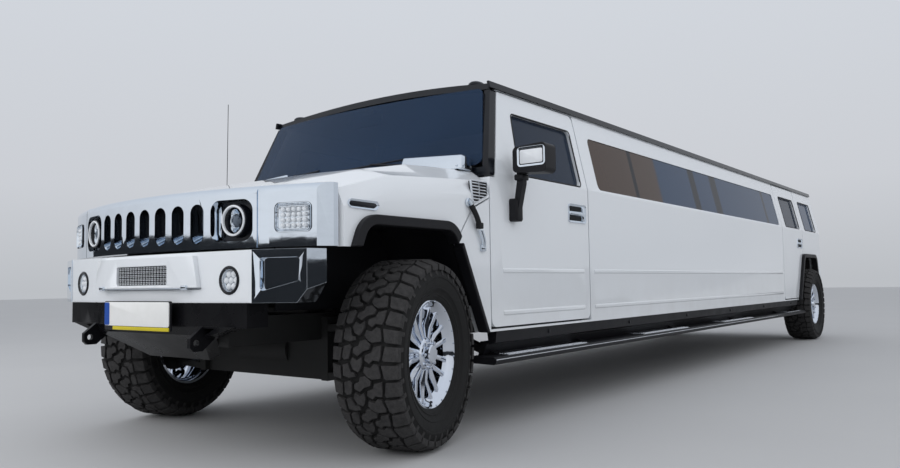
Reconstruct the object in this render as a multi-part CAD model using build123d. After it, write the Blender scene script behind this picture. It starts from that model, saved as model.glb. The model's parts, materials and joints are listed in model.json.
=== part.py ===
from build123d import *
import os
from math import asin, atan2, cos, degrees, pi, radians, sin

# Stretch limousine: a full-size off-road body lengthened between its front and rear doors, white, with a
# chrome grille shell, a forward-tilting hood, four hinged doors, a top-hinged tailgate and a long window strip.
# Lengths are millimetres. X points to the vehicle's left, Y to its rear and Z up. The model is drawn from the
# point on the ground under the front axle, and each node is moved by SHIFT when it is written, so that the
# origin lies on the ground under the middle of the vehicle.

# Driving dimensions of the whole vehicle
WHEELBASE = 7790
FRONT_OVERHANG = 842
REAR_OVERHANG = 800
BODY_WIDTH = 2000
TRACK = BODY_WIDTH - 156
FLARE_PROUD = 31
SILL_Z = 509
BELT_Z = 1350
EAVE_Z = 1885
ROOF_Z = 1940
BODY_X = BODY_WIDTH / 2
EAVE_X = BODY_X - 120
SHIFT = Location((0, (FRONT_OVERHANG - REAR_OVERHANG - WHEELBASE) / 2, 0))

# Walls, gaps and glass
WALL = 70
PILLAR = 36
PANEL_GAP = 10
GLASS = 8
GLASS_DEPTH = 20
STRIP_DEPTH = 14
SEAT_GAP = 0.3
RUN_GAP = 0.06

# Wheels and steering: the wheels are turned to the left at rest, within the real lock to each side
TYRE_R = 440
TYRE_WIDTH = 315
TYRE_SHOULDER = 26
TREAD_DEPTH = 15
LUGS = 26
LUG_SHARE = 0.62
# Rows of lugs: start and end along the axle, share of a pitch that the row is turned by
LUG_ROWS = [(-154, -84, 0), (84, 154, 0.5)]
RIM_R = 230
RIM_FLANGE_R = 250
RIM_WIDTH = 236
RIM_WALL = 9
HUB_R = 78
SPINDLE_R = 32
SPINDLE_TIP = 96
SPOKES = 8
KINGPIN_IN = 45
KINGPIN_R = 12
KNUCKLE_R = 34
KNUCKLE_Z = (340, 540)
ARM_THICK = 34
STEER_REST = 13

# Wheel arches as four corners in side view, (y, z); the rear one is steeper behind the wheel
ARCH_TOP = 1066
ARCH_RADIUS = 130
ARCH_LOW = 300
ARCH_SLOPE = 0.483
REAR_ARCH_END_SLOPE = 0.3
FLARE_WIDTH = 45
FLARE_LEG_WIDTH = 22
FLARE_IN_X = BODY_X - 34
FRONT_ARCH = [(-721, ARCH_LOW), (632, ARCH_LOW), (262, ARCH_TOP), (-400, ARCH_TOP)]
REAR_ARCH_HALF_TOP = 331
REAR_ARCH_HALF_LOW = REAR_ARCH_HALF_TOP + (ARCH_TOP - ARCH_LOW) * ARCH_SLOPE
REAR_ARCH = [
    (WHEELBASE - REAR_ARCH_HALF_LOW, ARCH_LOW),
    (WHEELBASE + REAR_ARCH_HALF_TOP + (ARCH_TOP - ARCH_LOW) * REAR_ARCH_END_SLOPE, ARCH_LOW),
    (WHEELBASE + REAR_ARCH_HALF_TOP, ARCH_TOP),
    (WHEELBASE - REAR_ARCH_HALF_TOP, ARCH_TOP),
]

# Doors and side panels along the body
DOOR_FRONT_Y = 588
DOOR_REAR_Y = 1712
DOOR_LOW_Z = 531
DOOR_TOP_Z = 1846
DOOR_CORNER = 45
PILLAR_FOOT = (636, 1325)
PILLAR_HEAD = (838, DOOR_TOP_Z)
REAR_DOOR_Y = WHEELBASE - 1230
REAR_DOOR_END_Y = WHEELBASE - 300
BODY_END_Y = WHEELBASE + 650
CORNER_POST = 150
WINDOW_LOW_Z = 1366
WINDOW_TOP_Z = 1722
WINDOW_RADIUS = 40
MOULDING_Z = (602, 828)
MOULDING_HEIGHT = 30
MOULDING_PROUD = 5
STRIP_Y = (1880, REAR_DOOR_Y - 106)
QUARTER_WINDOW_Y = (WHEELBASE - 130, WHEELBASE + 460)
# Panes behind the outer glass strip: front end, rear end, as shares of the strip
STRIP_PANES = [(0.004, 0.144), (0.157, 0.413), (0.443, 0.534), (0.571, 0.899), (0.914, 0.995)]

# Windscreen: a curved pane raked back from the cowl
SCREEN_LOW = (590, 1395)
SCREEN_TOP = (773, 1855)
SCREEN_RADIUS = 5000
COWL_Y = (468, 660)
ROOF_LOW_Z = DOOR_TOP_Z + 6
COWL_LOW_Z = 1300
COWL_HALF = BODY_X - 134
PILLAR_FOOT_Z = PILLAR_FOOT[1] + PANEL_GAP

# Hood: stations along the hood, with its shoulder and its side crease
HOOD_WALL = 28
HOOD_MIDDLE_X = BODY_X - 520
HOOD_CROWN = 10
HOOD_SIDE_X = BODY_X
HOOD_LOW_Z = 880
# y, shoulder x, shoulder z, crease x, crease z, both x inwards of the body side
HOOD_STATIONS = [
    (-720, 270, 1168, 28, 1112),
    (-190, 200, 1300, 32, 1254),
    (90, 165, 1350, 34, 1274),
    (600, 120, 1368, 32, 1306),
]
HOOD_REAR_Y = 460
HOOD_SIDE_REAR_Y = DOOR_FRONT_Y - PANEL_GAP
HOOD_CUT = [(327, 1030), (424, 1151), (HOOD_SIDE_REAR_Y, 1213)]
HOOD_HINGE_GAP = 15
HOOD_HINGE_Z = 1174
HOOD_HINGE_X = 360
HOOD_HINGE_NOTCH = (50, 18)
HOOD_KNUCKLE_R = 10
HOOD_SHUT_GAP = 24
VENT_SLOTS = 7
VENT_SLOT_PITCH = 13

# Front end: the grille shell and the bumper follow one arc in plan
FRONT_RADIUS = 2600
GRILLE_Y = -787
GRILLE_DEPTH = 66
GRILLE_HALF = BODY_X - 10
GRILLE_Z = (925, 1188)
GRILLE_MIDDLE_HALF = 690
GRILLE_CORNER = GRILLE_HALF - 36
GRILLE_BROW = 34
SLOTS = 7
SLOT_PITCH = 122
SLOT_WIDTH = 80
SLOT_Z = (950, 1124)
HEADLAMP_X = 556
HEADLAMP_Z = 1044
HEADLAMP_R = 68
LAMP_RECESS = (222, 178)
TURN_LAMP_X = 853
TURN_LAMP_Z = 1046
TURN_LAMP_SIZE = (150, 104)
BUMPER_Y = -806
BUMPER_DEPTH = 120
BUMPER_Z = (696, 914)
BUMPER_HALF = 726
BUMPER_RADIUS = 7100
BUMPER_STEP = 22
BUMPER_STEP_HALF = 415
BUMPER_STEP_Z = (762, 900)
BUMPER_SLOT = 10
MESH_HALF = 205
MESH_Z = (774, 862)
FOG_X = 590
FOG_Z = 790
FOG_R = 58
END_CAP_HALF = BODY_X - 25
LOWER_BUMPER_Z = (592, BUMPER_Z[0] - SEAT_GAP)
LOWER_BUMPER_HALF = 703
LOWER_BUMPER_Y = -FRONT_OVERHANG + 50
LOWER_BUMPER_DEPTH = 110
SKIRT_IN = 60

# Door mirrors
MIRROR_Y = 806
MIRROR_X = BODY_X + 246
MIRROR_HEAD_Z = (1346, 1508)

# Underbody
RAIL_X = 430
RAIL_SIZE = (70, 130)
RAIL_Z = 500
FLOOR_LOW_Z = RAIL_Z + RAIL_SIZE[1] + SEAT_GAP
FLOOR_Z = (FLOOR_LOW_Z, FLOOR_LOW_Z + 28)
# y, height above the rails' lower face
CROSS_MEMBERS = [(-560, 0), (330, 0), (WHEELBASE - 560, 84), (WHEELBASE + 460, 84)]
MEMBER_FIRST_Y = 1150
MEMBERS_BETWEEN = 7
CROSS_MEMBER_HIGH = 44
CROSS_MEMBER_LONG = 80
TUB_IN_X = BODY_X - 310
LINER_WALL = 12
LINER_IN_X = BODY_X - 506
LINER_OUT_X = FLARE_IN_X - 6


def face(points, radius=0):
    """Flat face inside a closed outline of 3-D points, its corners rounded if a radius is given."""
    if radius:
        edges = FilletPolyline(*points, radius=radius, close=True).edges()
        return Face(Wire(edges))
    return Face(Wire.make_polygon(points))


def side_prism(points, x0, x1, radius=0):
    """Outline in side view, (y, z), carried from x0 to x1."""
    return Solid.extrude(face([(x0, y, z) for y, z in points], radius), Vector(x1 - x0, 0, 0))


def cross_prism(points, y0, y1, radius=0):
    """Outline in front view, (x, z), carried from y0 to y1."""
    return Solid.extrude(face([(x, y0, z) for x, z in points], radius), Vector(0, y1 - y0, 0))


def plan_prism(points, z0, z1, radius=0):
    """Outline in plan, (x, y), carried from z0 to z1."""
    return Solid.extrude(face([(x, y, z0) for x, y in points], radius), Vector(0, 0, z1 - z0))


def block(x, y, z):
    """Box between pairs of limits."""
    size = (x[1] - x[0], y[1] - y[0], z[1] - z[0])
    return Solid.make_box(*size).moved(Location((x[0], y[0], z[0])))


def rod(start, end, radius):
    """Round bar between two points."""
    along = Vector(*end) - Vector(*start)
    return Solid.make_cylinder(radius, along.length, Plane(origin=start, z_dir=along))


def box_corners(low, high):
    """Corners of an upright rectangle in a 2-D view."""
    return [(low[0], low[1]), (high[0], low[1]), (high[0], high[1]), (low[0], high[1])]


def inset(points, by):
    """Outline with each side moved inwards; a negative distance moves the sides outwards."""
    moved = []
    count = len(points)
    turn = sum(
        points[i][0] * points[(i + 1) % count][1] - points[(i + 1) % count][0] * points[i][1]
        for i in range(count)
    )
    sign = 1 if turn > 0 else -1
    for i in range(count):
        before = points[i - 1]
        here = points[i]
        after = points[(i + 1) % count]
        a = atan2(here[1] - before[1], here[0] - before[0])
        b = atan2(after[1] - here[1], after[0] - here[0])
        half = (b - a) / 2
        reach = by * sign / cos(half)
        moved.append((here[0] - reach * sin(a + half), here[1] + reach * cos(a + half)))
    return moved


def sag(x, radius=FRONT_RADIUS):
    """How far an arc that bulges forwards has fallen back at a distance from the middle."""
    return radius - (radius ** 2 - x ** 2) ** 0.5


def arc_outline(half, back_y, radius, depth):
    """Band in plan, (x, y), between an arc that bulges forwards and the same arc set back by a depth."""
    end_y = back_y + sag(half, radius)
    front = ThreePointArc((-half, end_y), (0, back_y), (half, end_y))
    rear = ThreePointArc((half, end_y + depth), (0, back_y + depth), (-half, end_y + depth))
    ends = [
        Line((half, end_y), (half, end_y + depth)),
        Line((-half, end_y + depth), (-half, end_y)),
    ]
    return Face(Wire([front.edge(), ends[0].edge(), rear.edge(), ends[1].edge()]))


def arc_band(half, back_y, radius, depth, z0, z1):
    """The band of arc_outline between two heights."""
    flat = arc_outline(half, back_y, radius, depth).moved(Location((0, 0, z0)))
    return Solid.extrude(flat, Vector(0, 0, z1 - z0))


def mirrored(shape):
    """The same piece on the vehicle's right side."""
    return shape.mirror(Plane.YZ)


def both_sides(*shapes):
    """Left pieces with their right-hand twins."""
    return list(shapes) + [mirrored(shape) for shape in shapes]


def joined(shapes):
    """Pieces fused into one solid."""
    return shapes[0].fuse(*shapes[1:]).clean()


# Section of the body side: upright to the belt, leaning in above it
LEAN = (BODY_X - EAVE_X) / (EAVE_Z - BELT_Z)
LEAN_COS = cos(atan2(BODY_X - EAVE_X, EAVE_Z - BELT_Z))


def wall_x(z, depth=0):
    """Distance of the body side from the middle at a height, under a depth from its outer face."""
    upright = BODY_X - depth
    leaning = BODY_X - (z - BELT_Z) * LEAN - depth / LEAN_COS
    return min(upright, leaning)


def belt_z(depth):
    """Height where the section at a depth starts to lean."""
    return BELT_Z - depth * (1 / LEAN_COS - 1) / LEAN


def wall_section(z0, z1, near, far):
    """Section of the left body side, (x, z), between two depths and two heights."""
    outer = [(wall_x(z0, near), z0), (BODY_X - near, belt_z(near)), (wall_x(z1, near), z1)]
    inner = [(wall_x(z1, far), z1), (BODY_X - far, belt_z(far)), (wall_x(z0, far), z0)]
    return outer + inner


def wall_band(y, z, near=0, far=WALL):
    """Stretch of the left body side."""
    return cross_prism(wall_section(z[0], z[1], near, far), y[0], y[1])


def window_outline(y0, y1, z0=WINDOW_LOW_Z, z1=WINDOW_TOP_Z):
    return box_corners((y0, z0), (y1, z1))


SCREEN_HALF_LOW = wall_x(SCREEN_LOW[1], PILLAR) - SEAT_GAP
SCREEN_HALF_TOP = wall_x(SCREEN_TOP[1], PILLAR) - SEAT_GAP


# Hinges: the pin stands in a pocket of the fixed panel, and the moving panel's knuckle turns on it.
# In the hinge's own frame z is the axis, y crosses the gap towards the moving panel and x points outwards.
HINGE_PIN_R = 5
HINGE_KNUCKLE_R = 8
HINGE_LENGTH = 70
HINGE_BACK = 22
HINGE_SKIN = 12
HINGE_POCKET_X = (-60, 9)
HINGE_POCKET_Y = -12
HINGE_KNUCKLE_LENGTH = 56
STRAP_X = (-48, -22)


def hinge_pocket():
    """Space cut out of the fixed panel."""
    half = HINGE_LENGTH / 2
    return block(HINGE_POCKET_X, (HINGE_POCKET_Y, HINGE_BACK + 1), (-half, half))


def hinge_pin():
    """Pin across the pocket."""
    half = HINGE_LENGTH / 2
    return rod((0, 0, -half), (0, 0, half), HINGE_PIN_R)


def hinge_knuckle(reach):
    """Moving panel's knuckle with a strap that reaches behind the skin to the panel."""
    half = HINGE_KNUCKLE_LENGTH / 2
    ring = rod((0, 0, -half), (0, 0, half), HINGE_KNUCKLE_R)
    outline = [(0, -HINGE_KNUCKLE_R), (STRAP_X[0], 2), (STRAP_X[0], reach), (STRAP_X[1], reach), (2, 4)]
    strap = plan_prism(outline, -half, half)
    bore = rod((0, 0, -half), (0, 0, half), HINGE_PIN_R + RUN_GAP)
    return ring.fuse(strap) - bore


# Body panels

def pillar_line(z):
    """Front edge of the front door at a height."""
    if z <= PILLAR_FOOT[1]:
        return PILLAR_FOOT[0]
    share = (z - PILLAR_FOOT[1]) / (PILLAR_HEAD[1] - PILLAR_FOOT[1])
    return PILLAR_FOOT[0] + share * (PILLAR_HEAD[0] - PILLAR_FOOT[0])


DOOR_HINGE_X = BODY_X - HINGE_SKIN
DOOR_HINGE_Z = (700, 1120)


def door_hinges(edge_y):
    """Places of a door's two hinges, ahead of its front edge."""
    return [Location((DOOR_HINGE_X, edge_y - HINGE_BACK, z)) for z in DOOR_HINGE_Z]


def front_door():
    frame = box_corners((DOOR_FRONT_Y, DOOR_LOW_Z), (DOOR_REAR_Y, DOOR_TOP_Z))
    panel = wall_band((DOOR_FRONT_Y, DOOR_REAR_Y), (DOOR_LOW_Z, DOOR_TOP_Z))
    panel = panel & side_prism(frame, 0, BODY_X, DOOR_CORNER)
    ahead = [PILLAR_HEAD, PILLAR_FOOT, (0, PILLAR_FOOT[1]), (0, 2 * DOOR_TOP_Z),
             (pillar_line(2 * DOOR_TOP_Z), 2 * DOOR_TOP_Z)]
    panel = panel - side_prism(ahead, 0, BODY_X)
    panel = panel - side_prism(FRONT_DOOR_WINDOW, 0, BODY_X, WINDOW_RADIUS)
    knuckles = [hinge_knuckle(HINGE_BACK + 3).moved(place) for place in door_hinges(DOOR_FRONT_Y)]
    return joined([panel] + mouldings((DOOR_FRONT_Y + 112, DOOR_REAR_Y - 72)) + knuckles)


def mouldings(span):
    """Pressed ribs along a stretch of the left body side."""
    ribs = []
    for z in MOULDING_Z:
        half = MOULDING_HEIGHT / 2
        outline = [(BODY_X - 1, z - half), (BODY_X + MOULDING_PROUD, z - half + 8),
                   (BODY_X + MOULDING_PROUD, z + half - 8), (BODY_X - 1, z + half)]
        ribs.append(cross_prism(outline, *span))
    return ribs


FRONT_DOOR_WINDOW = [
    (892, WINDOW_LOW_Z),
    (1631, WINDOW_LOW_Z),
    (1631, WINDOW_TOP_Z + 6),
    (938, WINDOW_TOP_Z + 6),
]
REAR_DOOR_WINDOW = window_outline(REAR_DOOR_Y + 170, REAR_DOOR_END_Y - 110)


def pane(outline, near=GLASS_DEPTH, radius=WINDOW_RADIUS):
    """Glass that fills a window of the left body side."""
    low = min(z for y, z in outline)
    high = max(z for y, z in outline)
    front = min(y for y, z in outline)
    rear = max(y for y, z in outline)
    sheet = wall_band((front, rear), (low, high), near, near + GLASS)
    return sheet & side_prism(inset(outline, SEAT_GAP), 0, BODY_X, radius - SEAT_GAP)


def rear_door():
    panel = wall_band((REAR_DOOR_Y, REAR_DOOR_END_Y), (DOOR_LOW_Z, DOOR_TOP_Z))
    outline = box_corners((REAR_DOOR_Y, DOOR_LOW_Z), (REAR_DOOR_END_Y, DOOR_TOP_Z))
    panel = panel & side_prism(outline, 0, BODY_X, DOOR_CORNER)
    panel = panel - side_prism(inset(REAR_ARCH, -PANEL_GAP), 0, 2 * BODY_X, ARCH_RADIUS)
    panel = panel - side_prism(REAR_DOOR_WINDOW, 0, BODY_X, WINDOW_RADIUS)
    knuckles = [hinge_knuckle(HINGE_BACK + 3).moved(place) for place in door_hinges(REAR_DOOR_Y)]
    return joined([panel] + knuckles)


def with_hinge_pins(panel, edge_y):
    """Fixed panel with the pockets and pins of the door behind it."""
    for place in door_hinges(edge_y):
        panel = panel - hinge_pocket().moved(place)
        panel = panel.fuse(hinge_pin().moved(place))
    return panel.clean()


def lower_fender():
    """Fixed part of the body side between the front wheel and the door, under the hood's cut line."""
    rear = DOOR_FRONT_Y - PANEL_GAP
    cut = [(y + 6, z - 8) for y, z in HOOD_CUT]
    foot = (cut[0][0] - 60, cut[0][1] - 74)
    outline = [(rear, SILL_Z), (rear, cut[2][1]), cut[1], cut[0], foot, (foot[0], SILL_Z)]
    panel = wall_band((260, rear), (SILL_Z, BELT_Z - 20)) & side_prism(outline, 0, BODY_X)
    panel = panel - side_prism(FRONT_ARCH, 0, 2 * BODY_X, ARCH_RADIUS)
    return with_hinge_pins(panel, DOOR_FRONT_Y)


def long_panel():
    """Body side between the doors, with the recess and openings of the window strip."""
    span = (DOOR_REAR_Y + PANEL_GAP, REAR_DOOR_Y - PANEL_GAP)
    panel = wall_band(span, (SILL_Z, ROOF_LOW_Z - SEAT_GAP))
    strip = window_outline(*STRIP_Y)
    recess = wall_band(STRIP_Y, (WINDOW_LOW_Z, WINDOW_TOP_Z), -5, STRIP_DEPTH)
    panel = panel - (recess & side_prism(strip, 0, 2 * BODY_X, WINDOW_RADIUS))
    length = STRIP_Y[1] - STRIP_Y[0]
    for front, rear in STRIP_PANES:
        ends = (STRIP_Y[0] + front * length, STRIP_Y[0] + rear * length)
        opening = inset(window_outline(*ends), 16)
        panel = panel - side_prism(opening, 0, BODY_X, WINDOW_RADIUS / 2)
    panel = joined([panel] + mouldings((span[0] + 58, span[1] - 70)))
    return with_hinge_pins(panel, REAR_DOOR_Y)


def rear_quarter():
    """Body side behind the rear door, with the corner post and the arch over the rear wheel."""
    front = REAR_DOOR_END_Y + PANEL_GAP
    height = (SILL_Z + 60, ROOF_LOW_Z - SEAT_GAP)
    wall = wall_band((front, BODY_END_Y), height)
    post = wall_band((BODY_END_Y - WALL, BODY_END_Y), height, 0, CORNER_POST)
    panel = wall.fuse(post).clean()
    panel = panel - side_prism(REAR_ARCH, 0, 2 * BODY_X, ARCH_RADIUS)
    low_front = block((0, BODY_X), (front - 1, WHEELBASE), (0, DOOR_LOW_Z + 100))
    panel = panel - low_front
    return panel - side_prism(window_outline(*QUARTER_WINDOW_Y), 0, BODY_X, WINDOW_RADIUS)


def sill_strip():
    """Body under the doors, which joins the lower fender, the long panel and the rear arch."""
    strips = []
    for front, rear in [(DOOR_FRONT_Y - PANEL_GAP, DOOR_REAR_Y + PANEL_GAP),
                        (REAR_DOOR_Y - PANEL_GAP, WHEELBASE - 610)]:
        strips.append(wall_band((front, rear), (SILL_Z, DOOR_LOW_Z - PANEL_GAP)))
    return strips


def side_glass():
    """Outer glass strip and the quarter window."""
    strip = pane(window_outline(*STRIP_Y), STRIP_DEPTH - GLASS)
    return [strip, pane(window_outline(*QUARTER_WINDOW_Y))]


def roof():
    """Crowned roof with the drip rail along each side."""
    low = ROOF_LOW_Z
    rim = wall_x(low)
    outer = ThreePointArc((-EAVE_X, EAVE_Z), (0, ROOF_Z), (EAVE_X, EAVE_Z))
    inner = ThreePointArc((rim - WALL, low), (0, ROOF_Z - 42), (WALL - rim, low))
    lines = [
        Line((EAVE_X, EAVE_Z), (rim, low)),
        Line((rim, low), (rim - WALL, low)),
        Line((WALL - rim, low), (-rim, low)),
        Line((-rim, low), (-EAVE_X, EAVE_Z)),
    ]
    edges = [outer.edge(), lines[0].edge(), lines[1].edge(), inner.edge(), lines[2].edge(), lines[3].edge()]
    flat = Face(Wire(edges)).rotate(Axis.X, 90)
    front = SCREEN_TOP[0] - 60
    shape = Solid.extrude(flat.moved(Location((0, front, 0))), Vector(0, BODY_END_Y - front, 0))
    slope = (SCREEN_TOP[0] - SCREEN_LOW[0]) / (SCREEN_TOP[1] - SCREEN_LOW[1])
    nose = [(front - 10, 1700), (SCREEN_TOP[0] - 155 * slope, 1700), (SCREEN_TOP[0] + 100 * slope, 1955),
            (front - 10, 1955)]
    shape = shape - side_prism(nose, -BODY_X, BODY_X)
    header = [(2 - rim, low), (rim - 2, low), (rim - 185, low + 42), (185 - rim, low + 42)]
    pieces = [shape, cross_prism(header, BODY_END_Y - WALL, BODY_END_Y)]
    for side in (1, -1):
        place = Location((side * TAILGATE_HINGE_X, TAILGATE_HINGE_Y, TAILGATE_HINGE_Z))
        pieces.append(tailgate_bracket().moved(place))
    return joined(pieces)


TAILGATE_HINGE_X = 480
TAILGATE_HINGE_Y = BODY_END_Y + 16
TAILGATE_HINGE_Z = 1868
TAILGATE_HINGE_HALF = 30


def tailgate_bracket():
    """Two ears on the roof's rear face with the tailgate's pin between them, its axis across the vehicle."""
    half = TAILGATE_HINGE_HALF + 4
    pieces = [rod((-half - 8, 0, 0), (half + 8, 0, 0), HINGE_PIN_R)]
    for low in (-half - 8, half):
        pieces.append(rod((low, 0, 0), (low + 8, 0, 0), HINGE_KNUCKLE_R))
        pieces.append(block((low, low + 8), (BODY_END_Y - TAILGATE_HINGE_Y - 1, 0), (-HINGE_KNUCKLE_R, HINGE_KNUCKLE_R)))
    return joined(pieces)


def tailgate_knuckle():
    """Ring round the tailgate's pin with a strap down the gate's outer face."""
    half = TAILGATE_HINGE_HALF
    face_y = BODY_END_Y - TAILGATE_HINGE_Y
    ring = rod((-half, 0, 0), (half, 0, 0), HINGE_KNUCKLE_R)
    strap = side_prism([(face_y, -26), (face_y, -96), (face_y + 10, -96), (11, -4), (-11, -4)], -half, half)
    bore = rod((-half, 0, 0), (half, 0, 0), HINGE_PIN_R + RUN_GAP)
    return ring.fuse(strap) - bore


def windscreen_frame():
    """Windscreen pillars with the cowl between their feet."""
    foot_z = PILLAR_FOOT_Z
    rear = [(pillar_line(z) - PANEL_GAP, z) for z in (foot_z, DOOR_TOP_Z)]
    slope = (SCREEN_TOP[0] - SCREEN_LOW[0]) / (SCREEN_TOP[1] - SCREEN_LOW[1])
    front_y = SCREEN_LOW[0]
    front = [(SCREEN_LOW[0] + (z - SCREEN_LOW[1]) * slope, z) for z in (DOOR_TOP_Z, SCREEN_LOW[1])]
    front.append((front_y, foot_z))
    pillar = wall_band((450, 850), (foot_z, DOOR_TOP_Z), 0, PILLAR) & side_prism(rear + front, 0, BODY_X)
    cowl_outline = [(COWL_Y[0], COWL_LOW_Z), (COWL_Y[1], COWL_LOW_Z), (COWL_Y[1], SCREEN_LOW[1] - 12),
                    (COWL_Y[0] + 12, SCREEN_LOW[1] - 26)]
    cowl = side_prism(cowl_outline, -COWL_HALF, COWL_HALF)
    foot = block((COWL_HALF - 10, wall_x(foot_z, PILLAR)), (front_y, pillar_line(foot_z) - PANEL_GAP),
                 (foot_z, SCREEN_LOW[1] - 12))
    return joined([cowl] + both_sides(pillar, foot))


def windscreen():
    """Curved pane between the pillars."""
    rise = SCREEN_TOP[1] - SCREEN_LOW[1]
    lean = SCREEN_TOP[0] - SCREEN_LOW[0]
    middle_y = SCREEN_LOW[0] - sag(SCREEN_HALF_LOW, SCREEN_RADIUS)
    flat = arc_outline(SCREEN_HALF_LOW, middle_y, SCREEN_RADIUS, GLASS)
    flat = flat.moved(Location((0, 0, SCREEN_LOW[1])))
    sheet = Solid.extrude(flat, Vector(0, lean, rise))
    outline = [
        (-SCREEN_HALF_LOW, SCREEN_LOW[1]),
        (SCREEN_HALF_LOW, SCREEN_LOW[1]),
        (SCREEN_HALF_TOP, SCREEN_TOP[1]),
        (-SCREEN_HALF_TOP, SCREEN_TOP[1]),
    ]
    return sheet & cross_prism(outline, 0, 2000, 40)


def hood_section(station):
    """Band-shaped section of the hood at one station, (x, z), from the left skirt over to the right one."""
    y, shoulder_in, shoulder_z, crease_in, crease_z = station
    shoulder_x = HOOD_SIDE_X - shoulder_in
    crease_x = HOOD_SIDE_X - crease_in
    outer = [
        (HOOD_SIDE_X + 1, HOOD_LOW_Z),
        (HOOD_SIDE_X, crease_z - 80),
        (crease_x, crease_z),
        (shoulder_x, shoulder_z),
        (HOOD_MIDDLE_X, shoulder_z + HOOD_CROWN),
    ]
    inner = [
        (HOOD_SIDE_X - HOOD_WALL + 1, HOOD_LOW_Z),
        (HOOD_SIDE_X - HOOD_WALL, crease_z - 90),
        (crease_x - HOOD_WALL, crease_z - HOOD_WALL),
        (shoulder_x - 8, shoulder_z - HOOD_WALL),
        (HOOD_MIDDLE_X - 4, shoulder_z + HOOD_CROWN - HOOD_WALL),
    ]
    half = outer + [(-x, z) for x, z in reversed(outer)]
    back = [(-x, z) for x, z in inner] + [(x, z) for x, z in reversed(inner)]
    return [(x, y, z) for x, z in half + back]


HOOD_HINGE_Y = GRILLE_Y + GRILLE_DEPTH + sag(HOOD_HINGE_X) + HOOD_HINGE_GAP


def hood_hinges():
    """Places of the hood's hinges behind the grille shell, their axes across the vehicle."""
    places = []
    for x in (HOOD_HINGE_X, -HOOD_HINGE_X):
        plane = Plane(origin=(x, HOOD_HINGE_Y, HOOD_HINGE_Z), x_dir=(0, 0, 1), z_dir=(-1, 0, 0))
        places.append(plane.location)
    return places


def hood_shell():
    """Skin of the hood with its sides down to the wheel arches."""
    shell = Solid.make_loft([Wire.make_polygon(hood_section(station)) for station in HOOD_STATIONS], True)
    top = HOOD_STATIONS[-1][2] + 60
    front = HOOD_STATIONS[0][0] - 20
    nose_y = GRILLE_Y + GRILLE_DEPTH + HOOD_SHUT_GAP
    ahead = arc_band(GRILLE_HALF + 60, nose_y - 400, FRONT_RADIUS, 400, 0, 2000)
    shell = shell - ahead
    shell = shell - side_prism(FRONT_ARCH, -2000, 2000, ARCH_RADIUS)
    cut = HOOD_CUT
    rear = [(cut[0][0] - 60, 0), (cut[0][0] - 60, cut[0][1] - 74), cut[0], cut[1],
            (HOOD_SIDE_REAR_Y, cut[2][1]), (HOOD_SIDE_REAR_Y, top), (900, top), (900, 0)]
    shell = shell - side_prism(rear, -2000, 2000)
    shell = shell - block((-880, 880), (HOOD_REAR_Y, 900), (0, top))
    low_front = block((-2000, 2000), (front - 10, -430), (0, BUMPER_Z[1] + PANEL_GAP))
    shell = shell - low_front
    half, back = HOOD_HINGE_NOTCH
    notch = block((HOOD_HINGE_X - half, HOOD_HINGE_X + half), (front - 40, HOOD_HINGE_Y + back), (0, top))
    return shell - notch - mirrored(notch)


def hood():
    """Hood with the openings of its side vents and its hinge knuckles."""
    shell = hood_shell()
    opening = side_prism(VENT_OUTLINE, HOOD_SIDE_X - 200, HOOD_SIDE_X + 100, 8)
    shell = shell - opening - mirrored(opening)
    knuckles = []
    for place in hood_hinges():
        knuckles.append(hood_knuckle().moved(place))
    return joined([shell] + knuckles)


def hood_knuckle():
    """Knuckle with a strap up to the hood's underside."""
    half = HINGE_KNUCKLE_LENGTH / 2
    ring = rod((0, 0, -half), (0, 0, half), HOOD_KNUCKLE_R)
    strap = plan_prism([(-8, 0), (-8, 90), (26, 90), (9, 4)], -half, half)
    bore = rod((0, 0, -half), (0, 0, half), HINGE_PIN_R + RUN_GAP)
    return ring.fuse(strap) - bore


def hood_flare():
    """Upper part of the left front flare, which lifts with the hood."""
    band = side_prism(FRONT_ARCH, FLARE_IN_X, BODY_X + FLARE_PROUD, ARCH_RADIUS)
    hole = side_prism(inset(FRONT_ARCH, FLARE_WIDTH), 0, 2 * BODY_X, ARCH_RADIUS - FLARE_WIDTH)
    band = band - hole
    low = BUMPER_Z[1] + PANEL_GAP
    (low_y, low_z), (high_y, high_z) = HOOD_CUT[:2]
    slope = (high_y - low_y) / (high_z - low_z)
    end = [(low_y + (z - low_z) * slope, z) for z in (low, ARCH_TOP + 30)]
    keep = [(-600, low), end[0], end[1], (-600, ARCH_TOP + 30)]
    return band & side_prism(keep, 0, 2 * BODY_X)


def front_low_flare():
    """Lower rear part of the left front flare, fixed on the body."""
    band = side_prism(FRONT_ARCH, FLARE_IN_X, BODY_X + FLARE_PROUD, ARCH_RADIUS)
    hole = side_prism(inset(FRONT_ARCH, FLARE_LEG_WIDTH), 0, 2 * BODY_X, ARCH_RADIUS - FLARE_LEG_WIDTH)
    keep = [(200, SILL_Z), (600, SILL_Z), (600, 1000), (340, 1026), (274, 889), (200, 889)]
    return (band - hole) & side_prism(keep, 0, 2 * BODY_X)


def rear_flare():
    """Left rear flare round the whole arch."""
    band = side_prism(REAR_ARCH, FLARE_IN_X, BODY_X + FLARE_PROUD, ARCH_RADIUS)
    hole = side_prism(inset(REAR_ARCH, FLARE_WIDTH), 0, 2 * BODY_X, ARCH_RADIUS - FLARE_WIDTH)
    around = (WHEELBASE - 1500, WHEELBASE + 1500)
    return (band - hole) & block((0, 2 * BODY_X), around, (SILL_Z, ARCH_TOP + 10))


VENT_OUTLINE = [(460, 1290), (476, 1200), (494, 1192), (566, 1240), (566, 1290)]


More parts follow.
